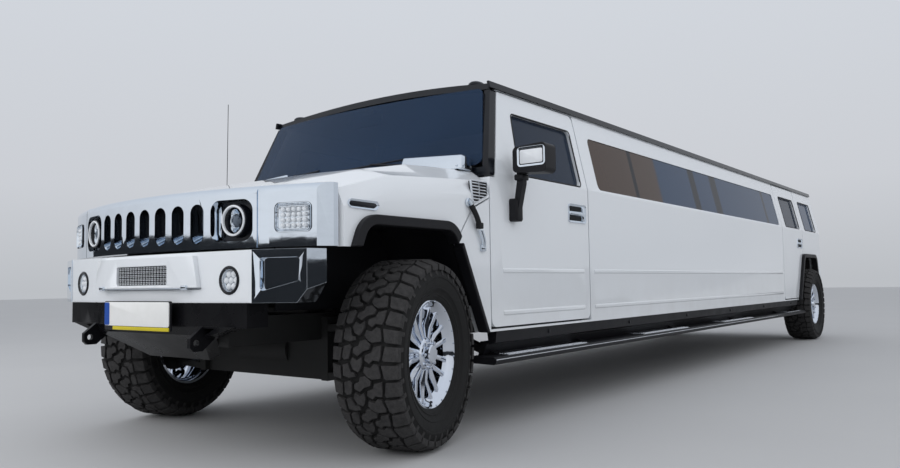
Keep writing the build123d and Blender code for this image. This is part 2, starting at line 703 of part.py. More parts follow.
def hood_vent():
    """Slotted vent on the hood's left side behind the wheel."""
    span = (HOOD_SIDE_X - 200, HOOD_SIDE_X + 100)
    vent = hood_shell() & side_prism(inset(VENT_OUTLINE, SEAT_GAP), *span, 8 - SEAT_GAP)
    inside = side_prism(inset(VENT_OUTLINE, 7), *span)
    top = max(z for y, z in VENT_OUTLINE)
    for place in range(VENT_SLOTS):
        z = top - 14 - place * VENT_SLOT_PITCH
        vent = vent - (block((HOOD_SIDE_X - 12, span[1]), (400, 600), (z - 4, z + 4)) & inside)
    return vent


# Front end

def front_sweep(edges, half):
    """Section in side view, at the vehicle's middle, carried round the front arc out to a half width."""
    axis = Axis((0, GRILLE_Y + FRONT_RADIUS, 0), (0, 0, 1))
    turn = degrees(asin(half / (FRONT_RADIUS - 200)))
    section = Face(Wire([edge.edge() for edge in edges])).rotate(axis, -turn)
    band = revolve(section, axis, 2 * turn).solid()
    return band & block((-half, half), (-1000, 0), (0, 2000))


def grille_section():
    """Upright face of the shell, rounded back at its top to the hood."""
    front, back = GRILLE_Y, GRILLE_Y + GRILLE_DEPTH
    low, high = GRILLE_Z
    round_z = high - GRILLE_BROW
    corner = (0, front + 0.3 * GRILLE_BROW, high - 0.3 * GRILLE_BROW)
    return [
        Line((0, front, low), (0, front, round_z)),
        ThreePointArc((0, front, round_z), corner, (0, front + GRILLE_BROW, high)),
        Line((0, front + GRILLE_BROW, high), (0, back, high)),
        Line((0, back, high), (0, back, low)),
        Line((0, back, low), (0, front, low)),
    ]


def grille_shell():
    """Chrome shell with the upright slots, the headlamp recesses and the openings of the turn lamps."""
    shell = front_sweep(grille_section(), GRILLE_HALF)
    corner_y = GRILLE_Y + sag(GRILLE_CORNER)
    bevel = [(GRILLE_CORNER, corner_y), (GRILLE_HALF + 1, corner_y - 10), (GRILLE_HALF + 1, corner_y + 62)]
    cutter = plan_prism(bevel, 0, 2000)
    shell = shell - cutter - mirrored(cutter)
    groove = block((GRILLE_MIDDLE_HALF - 3, GRILLE_MIDDLE_HALF + 3), (GRILLE_Y, GRILLE_Y + sag(GRILLE_MIDDLE_HALF) + 6),
                   (0, 2000))
    shell = shell - groove - mirrored(groove)
    for place in range(SLOTS):
        x = (place - (SLOTS - 1) / 2) * SLOT_PITCH
        outline = box_corners((x - SLOT_WIDTH / 2, SLOT_Z[0]), (x + SLOT_WIDTH / 2, SLOT_Z[1]))
        shell = shell - cross_prism(outline, GRILLE_Y - 100, 0, SLOT_WIDTH / 2 - 1)
    for side in (1, -1):
        recess = lamp_outline(side * HEADLAMP_X, HEADLAMP_Z, LAMP_RECESS)
        shell = shell - cross_prism(recess, GRILLE_Y - 100, 0, 50)
        opening = lamp_outline(side * TURN_LAMP_X, TURN_LAMP_Z, TURN_LAMP_SIZE)
        shell = shell - cross_prism(opening, GRILLE_Y - 100, 0, 22)
    brackets = [hood_bracket().moved(place) for place in hood_hinges()]
    return joined([shell] + brackets)


def hood_bracket():
    """Two ears on the back of the shell with the hood's hinge pin between them."""
    half = HINGE_KNUCKLE_LENGTH / 2 + 5
    pin = rod((0, 0, -half - 8), (0, 0, half + 8), HINGE_PIN_R)
    ears = []
    for low in (-half - 8, half):
        ears.append(block((-60, 11), (-HOOD_HINGE_GAP - 12, 11), (low, low + 8)))
    return joined([pin] + ears)


def lamp_outline(x, z, size):
    return box_corners((x - size[0] / 2, z - size[1] / 2), (x + size[0] / 2, z + size[1] / 2))


def front_lamps():
    """Headlamp units with their round lenses, turn lamps and fog lamps, each backed by its housing."""
    pieces = []
    for side in (1, -1):
        x = side * HEADLAMP_X
        outline = inset(lamp_outline(x, HEADLAMP_Z, LAMP_RECESS), SEAT_GAP)
        y = GRILLE_Y + sag(HEADLAMP_X)
        dish = cross_prism(outline, y + 44, y + GRILLE_DEPTH - 8, 50 - SEAT_GAP)
        lens = rod((x, y + 26, HEADLAMP_Z), (x, y + 46, HEADLAMP_Z), HEADLAMP_R)
        pieces.append(joined([dish, lens]))
        outline = inset(lamp_outline(side * TURN_LAMP_X, TURN_LAMP_Z, TURN_LAMP_SIZE), SEAT_GAP)
        sheet = arc_band(GRILLE_HALF, GRILLE_Y + 8, FRONT_RADIUS, GRILLE_DEPTH - 16, *GRILLE_Z)
        pieces.append(sheet & cross_prism(outline, GRILLE_Y - 100, 0, 22 - SEAT_GAP))
        fog_x = side * FOG_X
        fog_y = BUMPER_Y + BUMPER_STEP + sag(FOG_X, BUMPER_RADIUS)
        pieces.append(rod((fog_x, fog_y + 8, FOG_Z), (fog_x, fog_y + 70, FOG_Z), FOG_R - SEAT_GAP))
    return pieces


def front_bumper():
    """White middle of the bumper with its raised centre."""
    base = arc_band(BUMPER_HALF, BUMPER_Y + BUMPER_STEP, BUMPER_RADIUS, BUMPER_DEPTH - BUMPER_STEP, *BUMPER_Z)
    low, high = BUMPER_STEP_Z
    raised = arc_band(BUMPER_HALF, BUMPER_Y, BUMPER_RADIUS, BUMPER_DEPTH - 20, low, high)
    half = BUMPER_STEP_HALF
    sides = cross_prism([(-half, low), (half, low), (half - 30, high), (30 - half, high)], -1000, 0)
    bumper = base.fuse(raised & sides).clean()
    slot = block((-half, half), (-1000, BUMPER_Y + BUMPER_STEP + 30), (low - BUMPER_SLOT, low))
    mesh = cross_prism(box_corners((-MESH_HALF, MESH_Z[0]), (MESH_HALF, MESH_Z[1])), -1000, BUMPER_Y + 18, 10)
    bumper = bumper - slot - mesh
    for side in (1, -1):
        x = side * FOG_X
        bumper = bumper - rod((x, BUMPER_Y - 60, FOG_Z), (x, 0, FOG_Z), FOG_R)
    return bumper


def end_cap():
    """Left chrome end of the bumper: a face swept back from the white middle, and a return at its outer end."""
    y = BUMPER_Y + BUMPER_STEP + sag(BUMPER_HALF, BUMPER_RADIUS)
    corner = (END_CAP_HALF - 21, y + 87)
    outline = [
        (BUMPER_HALF + SEAT_GAP, y - 6),
        corner,
        (END_CAP_HALF, y + 175),
        (END_CAP_HALF - 50, y + 175),
        (BUMPER_HALF + SEAT_GAP, y + 96),
    ]
    low, high = BUMPER_Z
    cap = plan_prism(outline, low, high)
    cut = [(END_CAP_HALF - 62, 0), (END_CAP_HALF - 62, low), (END_CAP_HALF + 1, low + 82), (END_CAP_HALF + 1, 0)]
    cap = cap - cross_prism(cut, -1000, 0)
    pocket = [(BUMPER_HALF + 34, low + 46), (END_CAP_HALF - 56, low + 88), (END_CAP_HALF - 50, high - 34),
              (BUMPER_HALF + 34, high - 34)]
    slope = (corner[1] - y + 6) / (corner[0] - BUMPER_HALF)
    floor = [(BUMPER_HALF, y + 20), (END_CAP_HALF, y + 20 + slope * (END_CAP_HALF - BUMPER_HALF))]
    front = plan_prism([(BUMPER_HALF, y - 200), (END_CAP_HALF, y - 200), floor[1], floor[0]], 0, 2000)
    return cap - (cross_prism(pocket, y - 200, y + 140, 14) & front)


# Lower edge of the skid plate in front view, from its top corner to its foot, (x, z)
SKID_SIDE = [(640, 596), (390, 535), (240, 430)]
SKID_GAP = [(520, 588), (410, 588), (410, 548)]


def lower_bumper():
    """Black lower bumper with the skid plate that slopes back under the radiator."""
    bar = arc_band(LOWER_BUMPER_HALF, LOWER_BUMPER_Y, BUMPER_RADIUS, LOWER_BUMPER_DEPTH, *LOWER_BUMPER_Z)
    front = LOWER_BUMPER_Y + 10
    skid_outline = [(front + 90, 596), (front, 596), (front + 12, 556), (-600, 430), (-560, 452),
                    (front + 82, 556)]
    skid = side_prism(skid_outline, -SKID_SIDE[0][0], SKID_SIDE[0][0])
    skid = skid & cross_prism(SKID_SIDE + [(-x, z) for x, z in reversed(SKID_SIDE)], -1000, 0)
    gap = cross_prism(SKID_GAP, -1000, 0)
    skid = skid - gap - mirrored(gap)
    return joined([bar, skid] + both_sides(tow_eye()))


TOW_EYE_X = 430
TOW_EYE = (-812, 528)
TOW_EYE_BORE = 14


def tow_eye():
    """Left recovery eye: a bored plate under the lower bumper."""
    outline = [(-720, 600), (-776, 600), (-FRONT_OVERHANG, 548), (-FRONT_OVERHANG, 508), (-826, 492),
               (-780, 492), (-720, 540)]
    plate = side_prism(outline, TOW_EYE_X - 11, TOW_EYE_X + 11)
    return plate - rod((TOW_EYE_X - 20, *TOW_EYE), (TOW_EYE_X + 20, *TOW_EYE), TOW_EYE_BORE)


def rocker_cover():
    """Left dark cover under the sill."""
    outline = [(BODY_X - 70, SILL_Z - SEAT_GAP), (BODY_X - 8, SILL_Z - SEAT_GAP), (BODY_X - 16, 448),
               (BODY_X - 60, 436)]
    return cross_prism(outline, 640, WHEELBASE - 640)


def radiator():
    """Radiator behind the grille slots, standing on the rails, with the arms that hold the grille shell."""
    core = block((-440, 440), (-612, -556), (RAIL_Z + RAIL_SIZE[1] + SEAT_GAP, 1108))
    shell_y = GRILLE_Y + GRILLE_DEPTH + sag(440, FRONT_RADIUS - GRILLE_DEPTH) + SEAT_GAP
    arms = [block((412, 440), (shell_y, -600), (z, z + 36)) for z in (960, 1060)]
    return joined([core] + both_sides(*arms))


def roof_rail():
    """Left dark rail along the roof's edge over the doors."""
    low = ROOF_LOW_Z + 2
    inner = wall_x(low) + SEAT_GAP
    top = EAVE_X + SEAT_GAP
    outline = [(inner, low), (inner + 16, low), (top + 14, EAVE_Z + 8), (top, EAVE_Z + 8), (top, EAVE_Z)]
    return cross_prism(outline, SCREEN_TOP[0] - 20, BODY_END_Y)


def running_board():
    """Left step board on brackets under the sill."""
    near, far = BODY_X - 140, BODY_X + 52
    outline = [(near, 346), (near, 377), (far - 16, 381), (far, 372), (far, 351), (far - 16, 342)]
    board = cross_prism(outline, 540, WHEELBASE - 530)
    brackets = []
    pitch = (REAR_DOOR_Y - 1880) / 3
    for y in [720] + [1709 + place * pitch for place in range(4)]:
        outline = [(RAIL_X + RAIL_SIZE[0] / 2 + SEAT_GAP, 510), (RAIL_X + RAIL_SIZE[0] / 2 + SEAT_GAP, 570),
                   (BODY_X - 40, 381), (BODY_X - 40, 342)]
        brackets.append(cross_prism(outline, y - 22, y + 22))
    return joined([board] + brackets)


# Rear end

def tailgate():
    """Top-hinged tailgate between the corner posts."""
    gap = CORNER_POST + PANEL_GAP
    low = SILL_Z + 130
    left = wall_section(low, DOOR_TOP_Z, gap, gap + 1)[:3]
    outline = left + [(-x, z) for x, z in reversed(left)]
    panel = cross_prism(outline, BODY_END_Y - WALL, BODY_END_Y)
    panel = panel - cross_prism(TAILGATE_WINDOW, BODY_END_Y - 400, BODY_END_Y + 400, 60)
    pieces = [panel]
    for side in (1, -1):
        place = Location((side * TAILGATE_HINGE_X, TAILGATE_HINGE_Y, TAILGATE_HINGE_Z))
        pieces.append(tailgate_knuckle().moved(place))
    return joined(pieces)


TAILGATE_WINDOW = [(310 - BODY_X, 1360), (BODY_X - 310, 1360), (BODY_X - 360, 1740), (360 - BODY_X, 1740)]


def tailgate_glass():
    y = BODY_END_Y - GLASS_DEPTH
    return cross_prism(inset(TAILGATE_WINDOW, SEAT_GAP), y - GLASS, y, 60 - SEAT_GAP)


def rear_bumper():
    end = WHEELBASE + REAR_OVERHANG
    half = BODY_X - 15
    bar = side_prism([(BODY_END_Y + 8, 560), (BODY_END_Y + 8, 760), (end - 24, 760), (end, 736), (end, 600),
                      (end - 40, 560)], -half, half)
    cutter = plan_prism([(half - 85, end + 1), (half + 1, end + 1), (half + 1, end - 60)], 0, 2000)
    bar = bar - cutter - mirrored(cutter)
    returns = block((BODY_X - 100, BODY_X), (BODY_END_Y - 90, BODY_END_Y + 40), (420, 562))
    skirt = block((100 - BODY_X, BODY_X - 100), (BODY_END_Y - SKIRT_IN, end - 40), (430, 562))
    return joined([bar, skirt] + both_sides(returns))


def tail_lamp():
    return block((BODY_X - 115, BODY_X - 40), (BODY_END_Y + 0.3, BODY_END_Y + 22), (900, 1200))


# Underbody

def rails():
    half = RAIL_SIZE[0] / 2
    front = LOWER_BUMPER_Y + LOWER_BUMPER_DEPTH + sag(RAIL_X + half, BUMPER_RADIUS - LOWER_BUMPER_DEPTH)
    front = front + SEAT_GAP
    rear = BODY_END_Y - SKIRT_IN - SEAT_GAP
    return both_sides(block((RAIL_X - half, RAIL_X + half), (front, rear), (RAIL_Z, RAIL_Z + RAIL_SIZE[1])))


def cross_members():
    inner = RAIL_X - RAIL_SIZE[0] / 2
    members = []
    pitch = (REAR_DOOR_Y - 10 - MEMBER_FIRST_Y) / (MEMBERS_BETWEEN - 1)
    between = [(MEMBER_FIRST_Y + place * pitch, 0) for place in range(MEMBERS_BETWEEN)]
    for y, rise in CROSS_MEMBERS + between:
        low = RAIL_Z + rise
        along = (y - CROSS_MEMBER_LONG / 2, y + CROSS_MEMBER_LONG / 2)
        members.append(block((-inner, inner), along, (low, low + CROSS_MEMBER_HIGH)))
    return members


ENGINE_Y = (-480, 260)


def engine_block():
    body = block((-300, 300), ENGINE_Y, (RAIL_Z + RAIL_SIZE[1] + 30, 1090))
    mounts = block((0, RAIL_X), (-160, -60), (FLOOR_LOW_Z, RAIL_Z + RAIL_SIZE[1] + 60))
    return joined([body] + both_sides(mounts))


SHAFT_R = 36
SHAFT_Z = 590
SHAFT_DROP_Y = WHEELBASE - 1090
DRIVE_R = 150


def drive_line():
    """Gearbox behind the engine and the shaft to the rear axle."""
    box = rod((0, ENGINE_Y[1] + SEAT_GAP, 780), (0, 636, 780), 120)
    case = block((-70, 70), (480, 636), (560, 700))
    level = rod((0, 600, SHAFT_Z), (0, SHAFT_DROP_Y, SHAFT_Z), SHAFT_R)
    joint = Solid.make_sphere(SHAFT_R + 3, Plane(origin=(0, SHAFT_DROP_Y, SHAFT_Z)))
    drop = rod((0, SHAFT_DROP_Y, SHAFT_Z), (0, WHEELBASE - DRIVE_R - SEAT_GAP, TYRE_R + 30), SHAFT_R)
    return joined([box, case, level, joint, drop])


def front_axle():
    """Final drive, half shafts and the arms that carry the steering knuckles."""
    kingpin = TRACK / 2 - KINGPIN_IN
    pieces = [rod((-190, 0, TYRE_R), (190, 0, TYRE_R), 110)]
    tower = RAIL_X + RAIL_SIZE[0] / 2
    pieces.append(block((-tower - 40, tower + 40), (-90, 90), (300, RAIL_Z - SEAT_GAP)))
    pieces.extend(both_sides(block((tower + SEAT_GAP, tower + 45), (-120, 120), (300, 610))))
    for side in (1, -1):
        for z, up in ((KNUCKLE_Z[0] - ARM_THICK, 1), (KNUCKLE_Z[1], -1)):
            low = z
            outline = [(side * 500, -120), (side * kingpin, -32), (side * (kingpin + 24), 0),
                       (side * kingpin, 32), (side * 500, 120)]
            pieces.append(plan_prism(outline, low, low + ARM_THICK))
            pin_from = KNUCKLE_Z[0] - 6 if up == 1 else KNUCKLE_Z[1] + 6
            pin_to = KNUCKLE_Z[0] + 36 if up == 1 else KNUCKLE_Z[1] - 36
            pieces.append(rod((side * kingpin, 0, pin_from), (side * kingpin, 0, pin_to), KINGPIN_R))
        pieces.append(rod((side * 180, 0, TYRE_R), (side * (kingpin - KNUCKLE_R - 8), 0, TYRE_R), 20))
    return joined(pieces)


def wheel_plane(side, axle_y):
    """Frame of a wheel: z points outwards along its axle, from the middle of the tyre."""
    if axle_y:
        return Plane(origin=(side * TRACK / 2, axle_y, TYRE_R), x_dir=(0, 1, 0), z_dir=(side, 0, 0))
    turn = radians(STEER_REST)
    pin_x = side * (TRACK / 2 - KINGPIN_IN)
    centre = (pin_x + side * KINGPIN_IN * cos(turn), side * KINGPIN_IN * sin(turn), TYRE_R)
    return Plane(origin=centre, x_dir=(-side * sin(turn), side * cos(turn), 0),
                 z_dir=(side * cos(turn), side * sin(turn), 0))


def knuckle(side):
    """Steering knuckle: an upright bored for the kingpins, with the spindle that carries the wheel."""
    kingpin = side * (TRACK / 2 - KINGPIN_IN)
    gap = 4
    post = rod((kingpin, 0, KNUCKLE_Z[0] + gap), (kingpin, 0, KNUCKLE_Z[1] - gap), KNUCKLE_R)
    spindle = rod((0, 0, -KINGPIN_IN), (0, 0, SPINDLE_TIP), SPINDLE_R)
    spindle = spindle.moved(wheel_plane(side, 0).location)
    bores = []
    for low, high in ((KNUCKLE_Z[0], KNUCKLE_Z[0] + 40), (KNUCKLE_Z[1] - 40, KNUCKLE_Z[1])):
        bores.append(rod((kingpin, 0, low), (kingpin, 0, high), KINGPIN_R + RUN_GAP))
    return joined([post, spindle]) - bores[0] - bores[1]


def rear_axle():
    """Beam with its final drive, the wheel spindles and two leaf springs."""
    half = TRACK / 2
    beam = rod((-half + 60, WHEELBASE, TYRE_R), (half - 60, WHEELBASE, TYRE_R), 52)
    drive = rod((-150, WHEELBASE, TYRE_R), (150, WHEELBASE, TYRE_R), DRIVE_R)
    pieces = [beam, drive]
    for side in (1, -1):
        pieces.append(rod((side * (half - 70), WHEELBASE, TYRE_R),
                          (side * (half + SPINDLE_TIP), WHEELBASE, TYRE_R), SPINDLE_R))
        spring = block((side * 560 - 35, side * 560 + 35), (WHEELBASE - 560, WHEELBASE + 560),
                       (TYRE_R + 40, TYRE_R + 70))
        pieces.append(spring)
        for y in (WHEELBASE - 540, WHEELBASE + 540):
            pieces.append(rod((side * (RAIL_X + RAIL_SIZE[0] / 2 + SEAT_GAP), y, TYRE_R + 90), (side * 590, y, TYRE_R + 90), 30))
    return joined(pieces)


def rim():
    """Rim and spokes in the wheel's own frame."""
    half = RIM_WIDTH / 2
    profile = [
        (RIM_FLANGE_R, -half), (RIM_FLANGE_R, -half + 10), (RIM_R, -half + 22), (RIM_R, half - 22),
        (RIM_FLANGE_R, half - 10), (RIM_FLANGE_R, half), (RIM_FLANGE_R - 14, half),
        (RIM_R - RIM_WALL, half - 26), (RIM_R - RIM_WALL, -half + 26), (RIM_FLANGE_R - 14, -half),
    ]
    barrel = revolve(face([(r, 0, z) for r, z in profile]), Axis.Z, 360).solid()
    hub = rod((0, 0, 30), (0, 0, SPINDLE_TIP + 14), HUB_R)
    pieces = [barrel, hub]
    for turn in range(SPOKES):
        spoke = [(HUB_R - 20, 44), (RIM_R - 4, 52), (RIM_R - 4, 84), (HUB_R - 20, SPINDLE_TIP)]
        bar = Solid.extrude(face([(r, -17, z) for r, z in spoke]), Vector(0, 34, 0))
        pieces.append(bar.rotate(Axis.Z, turn * 360 / SPOKES))
    return joined(pieces) - rod((0, 0, 0), (0, 0, SPINDLE_TIP + 1), SPINDLE_R + RUN_GAP)


def tyre():
    """Tyre in the wheel's own frame."""
    half = TYRE_WIDTH / 2
    seat = RIM_R + SEAT_GAP
    flange = RIM_FLANGE_R + SEAT_GAP
    rim_half = RIM_WIDTH / 2
    base = TYRE_R - TREAD_DEPTH
    profile = [
        (seat, -rim_half + 23), (flange, -rim_half + 11), (flange, -rim_half - 1),
        (flange + 12, -rim_half - 14), (330, -half), (base - 34, -half + 8), (base, -half + TYRE_SHOULDER),
        (base, half - TYRE_SHOULDER), (base - 34, half - 8), (330, half), (flange + 12, rim_half + 14),
        (flange, rim_half + 1), (flange, rim_half - 11), (seat, rim_half - 23),
    ]
    carcass = revolve(face([(r, 0, z) for r, z in profile]), Axis.Z, 360).solid()
    rings = [lug_ring(low, high, turn) for low, high, turn in LUG_ROWS]
    return joined([carcass] + rings)


def lug_ring(low, high, turn):
    """Ring of lugs between two distances along the axle, turned by a share of their pitch."""
    pitch = 2 * pi / LUGS
    inner = TYRE_R - TREAD_DEPTH - 3
    edges = []
    for place in range(LUGS):
        start = (place + turn) * pitch
        flank = start + pitch * (1 - LUG_SHARE) / 2
        middle = start + pitch / 2
        end = start + pitch - pitch * (1 - LUG_SHARE) / 2
        points = [(inner * cos(start), inner * sin(start)), (inner * cos(flank), inner * sin(flank)),
                  (TYRE_R * cos(flank), TYRE_R * sin(flank)), (TYRE_R * cos(end), TYRE_R * sin(end)),
                  (inner * cos(end), inner * sin(end)), (inner * cos(start + pitch), inner * sin(start + pitch))]
        edges.append(Line(points[0], points[1]).edge())
        edges.append(Line(points[1], points[2]).edge())
        tip = (TYRE_R * cos(middle), TYRE_R * sin(middle))
        edges.append(ThreePointArc(points[2], tip, points[3]).edge())
        edges.append(Line(points[3], points[4]).edge())
        edges.append(Line(points[4], points[5]).edge())
    outline = Face(Wire(edges)).moved(Location((0, 0, low)))
    return Solid.extrude(outline, Vector(0, 0, high - low)) - rod((0, 0, low - 1), (0, 0, high + 1), inner - 12)


WHEELS = [("front_left", 1, 0), ("front_right", -1, 0), ("rear_left", 1, WHEELBASE), ("rear_right", -1, WHEELBASE)]


def floor_pan():
    """Floor with the tubs over the rear wheels and the liners of the front wheels."""
    inner = BODY_X - WALL - SEAT_GAP
    floor = block((-inner, inner), (640, BODY_END_Y - WALL - 6), FLOOR_Z)
    pieces = [floor]
    arch = side_prism(REAR_ARCH, TUB_IN_X, inner, ARCH_RADIUS)
    hollow = side_prism(inset(REAR_ARCH, LINER_WALL), TUB_IN_X + LINER_WALL, inner + 1, ARCH_RADIUS - LINER_WALL)
    above = block((0, BODY_X + 200), (WHEELBASE - 1500, WHEELBASE + 1500), (FLOOR_Z[0], 1200))
    tub = (arch - hollow) & above
    wheel_room = side_prism(inset(REAR_ARCH, LINER_WALL), TUB_IN_X + LINER_WALL, inner + 1)
    pan = floor - wheel_room - mirrored(wheel_room)
    tubs = both_sides(tub)
    firewall = block((90 - BODY_X, BODY_X - 90), FIREWALL_Y, (FLOOR_Z[0], COWL_LOW_Z - SEAT_GAP))
    return joined([pan, firewall] + tubs)


def front_liner():
    """Liner over the left front wheel."""
    band = side_prism(FRONT_ARCH, LINER_IN_X, LINER_OUT_X, ARCH_RADIUS)
    hole = side_prism(inset(FRONT_ARCH, LINER_WALL), LINER_IN_X + LINER_WALL, 2000, ARCH_RADIUS - LINER_WALL)
    return (band - hole) & block((0, 2000), (-440, 560), (650, 1200))


# Inside

def front_seat():
    cushion = block((300, 790), (1080, 1560), (760, 900))
    back = side_prism([(1500, 830), (1600, 830), (1700, 1440), (1620, 1440)], 310, 780, 20)
    base = block((360, 730), (1120, 1500), (FLOOR_Z[1], 762))
    return joined([cushion, back, base])


FIREWALL_Y = (640, 660)
DASH_Y = FIREWALL_Y[1] + SEAT_GAP


def dashboard():
    shelf = side_prism([(DASH_Y, 1000), (900, 1020), (900, 1200), (700, 1330), (DASH_Y, 1290)],
                       100 - BODY_X, BODY_X - 100)
    column = rod((430, 880, 1110), (430, 1010, 1180), 22)
    ring = Solid.make_torus(180, 15, Plane(origin=(430, 1015, 1183), z_dir=(0, 0.88, 0.47)))
    spoke = rod((430 - 175, 1015, 1183), (430 + 175, 1015, 1183), 10)
    return joined([shelf, column, ring, spoke])


PARTITION_Y = (1790, 1830)


def partition():
    left = wall_section(FLOOR_Z[1] + SEAT_GAP, DOOR_TOP_Z, WALL + SEAT_GAP, WALL + 1)[:3]
    outline = left + [(-x, z) for x, z in reversed(left)]
    wall = cross_prism(outline, *PARTITION_Y)
    return wall - cross_prism(box_corners((-500, 1250), (500, 1700)), 1700, 1900, 40)


def lounge_seats():
    """Bench along the right side and across the rear."""
    wall = 100 - BODY_X
    low = FLOOR_Z[1] + SEAT_GAP
    length = (2300, WHEELBASE - 890)
    long_seat = block((wall, wall + 520), length, (low, 1000))
    long_back = block((wall, wall + 120), length, (999, 1320))
    rear = BODY_END_Y - 100
    rear_seat = block((-640, 640), (rear - 500, rear), (low, 1000))
    rear_back = block((-640, 640), (rear - 120, rear), (999, 1320))
    return [joined([long_seat, long_back]), joined([rear_seat, rear_back])]


def bar_cabinet():
    return block((560, BODY_X - 85), (2600, WHEELBASE - 1790), (FLOOR_Z[1] + 0.3, 1240))


def mirror():
    """Left door mirror: foot on the door, upright arm and rounded head."""
    near = BODY_X + 44
    foot = side_prism(box_corners((MIRROR_Y - 34, 1096), (MIRROR_Y + 34, 1222)), BODY_X + SEAT_GAP, near, 14)
    arm = cross_prism([(near - 34, 1110), (near, 1130), (near + 40, 1300), (near + 40, 1370), (near, 1370),
                       (near, 1310)], MIRROR_Y - 20, MIRROR_Y + 20)
    low, high = MIRROR_HEAD_Z
    head = cross_prism([(near - 4, low + 12), (MIRROR_X, low), (MIRROR_X, high), (near - 4, high - 12)],
                       MIRROR_Y - 52, MIRROR_Y + 58, 26)
    glass = block((near + 18, MIRROR_X - 22), (MIRROR_Y + 50, MIRROR_Y + 60), (low + 24, high - 24))
    return joined([foot, arm, head]) - glass


PIPE_R = 34
SILENCER_R = 85


def exhaust():
    z = RAIL_Z - PIPE_R - SEAT_GAP
    rear = WHEELBASE - 890
    pipe = rod((250, 500, z), (250, rear, z), PIPE_R)
    box = rod((250, rear - 2050, z), (250, rear - 1350, z), SILENCER_R)
    return joined([pipe, box])


def write(name, *solids):
    """Write a node from its separate solids."""
    placed = [solid.moved(SHIFT) for solid in solids]
    shape = placed[0] if len(placed) == 1 else Compound(children=placed)
    export_step(shape, f"parts/{name}.step")


def main():
    os.makedirs("parts", exist_ok=True)
    write("frame_rails", *rails())
    write("cross_members", *cross_members())
    write("engine_block", engine_block())
    write("drive_line", drive_line())
    write("exhaust", exhaust())
    write("front_axle", front_axle())
    write("rear_axle", rear_axle())
    write("floor_pan", floor_pan())
    write("front_liners", *both_sides(front_liner()))
    write("body_sides", *both_sides(lower_fender(), long_panel(), rear_quarter(), *sill_strip()))
    write("windscreen_frame", windscreen_frame())
    write("windscreen", windscreen())
    write("roof", roof())
    write("side_glass", *both_sides(*side_glass()))
    write("grille_shell", grille_shell())
    write("front_lamps", *front_lamps())
    write("front_bumper", front_bumper())
    write("bumper_ends", *both_sides(end_cap()))
    write("lower_bumper", lower_bumper())
    write("running_boards", *both_sides(running_board()))
    write("rocker_covers", *both_sides(rocker_cover()))
    write("roof_rails", *both_sides(roof_rail()))
    write("radiator", radiator())
    write("rear_bumper", rear_bumper())
    write("tail_lamps", *both_sides(tail_lamp()))
    write("wheel_flares", *both_sides(front_low_flare(), rear_flare()))
    write("front_seats", *both_sides(front_seat()))
    write("dashboard", dashboard())
    write("partition", partition())
    write("lounge_seats", *lounge_seats())
    write("bar_cabinet", bar_cabinet())
    write("hood", hood())
    write("hood_flares", *both_sides(hood_flare()))
    write("hood_vents", *both_sides(hood_vent()))
    write("tailgate", tailgate())
    write("tailgate_glass", tailgate_glass())
    doors = {
        "front_door": front_door(),
        "front_door_glass": pane(FRONT_DOOR_WINDOW),
        "rear_door": rear_door(),
        "rear_door_glass": pane(REAR_DOOR_WINDOW),
        "mirror": mirror(),
    }
    for name, left in doors.items():
        write(f"{name}_left", left)
        write(f"{name}_right", mirrored(left))
    write("knuckle_left", knuckle(1))
    write("knuckle_right", knuckle(-1))
    rim_shape = rim()
    tyre_shape = tyre()
    for name, side, axle_y in WHEELS:
        place = wheel_plane(side, axle_y).location
        write(f"rim_{name}", rim_shape.moved(place))
        write(f"tyre_{name}", tyre_shape.moved(place))


main()
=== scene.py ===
# %% [markdown]
# A stretch limousine on a studio floor. The solids of the body, chassis and wheels come from the CAD frame,
# which moves at its real joints. This lesson gives each of them its finish, replaces the ones that need
# more form than a solid has, such as tyres and lamps, and adds the small parts that the solids leave out.

import json
from math import asin, cos, pi, radians, sin, sqrt

import bmesh
import bpy
from mathutils import Matrix, Vector

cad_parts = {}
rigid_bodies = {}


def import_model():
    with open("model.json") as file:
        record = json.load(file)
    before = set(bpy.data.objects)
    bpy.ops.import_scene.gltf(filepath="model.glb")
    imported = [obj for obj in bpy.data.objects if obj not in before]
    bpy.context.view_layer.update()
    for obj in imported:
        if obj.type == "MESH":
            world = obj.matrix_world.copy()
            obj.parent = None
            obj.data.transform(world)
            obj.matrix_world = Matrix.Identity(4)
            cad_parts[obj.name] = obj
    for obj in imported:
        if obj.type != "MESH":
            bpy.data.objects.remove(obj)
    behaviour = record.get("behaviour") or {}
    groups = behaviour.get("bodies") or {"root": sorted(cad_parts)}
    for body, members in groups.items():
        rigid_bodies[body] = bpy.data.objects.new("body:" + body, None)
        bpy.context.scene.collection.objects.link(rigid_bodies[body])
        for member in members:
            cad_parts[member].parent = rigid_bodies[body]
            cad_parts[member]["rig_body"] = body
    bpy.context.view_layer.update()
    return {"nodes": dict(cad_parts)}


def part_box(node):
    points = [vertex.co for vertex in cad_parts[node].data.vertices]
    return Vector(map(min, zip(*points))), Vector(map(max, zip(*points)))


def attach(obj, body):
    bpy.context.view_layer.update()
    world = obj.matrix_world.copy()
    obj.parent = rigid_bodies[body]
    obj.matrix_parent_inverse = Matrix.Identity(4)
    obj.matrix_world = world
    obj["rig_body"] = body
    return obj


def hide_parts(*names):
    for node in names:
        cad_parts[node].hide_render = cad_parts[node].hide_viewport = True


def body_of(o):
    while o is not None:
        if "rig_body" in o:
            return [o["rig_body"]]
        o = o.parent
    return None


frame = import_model()
nodes = frame["nodes"]

# %% [markdown]
# Shapes are drawn in millimetres from the ground under the front axle, as the body's own drawings are, and
# are moved to the frame's metres when they are finished. The rear wheel tells where the front axle lies.

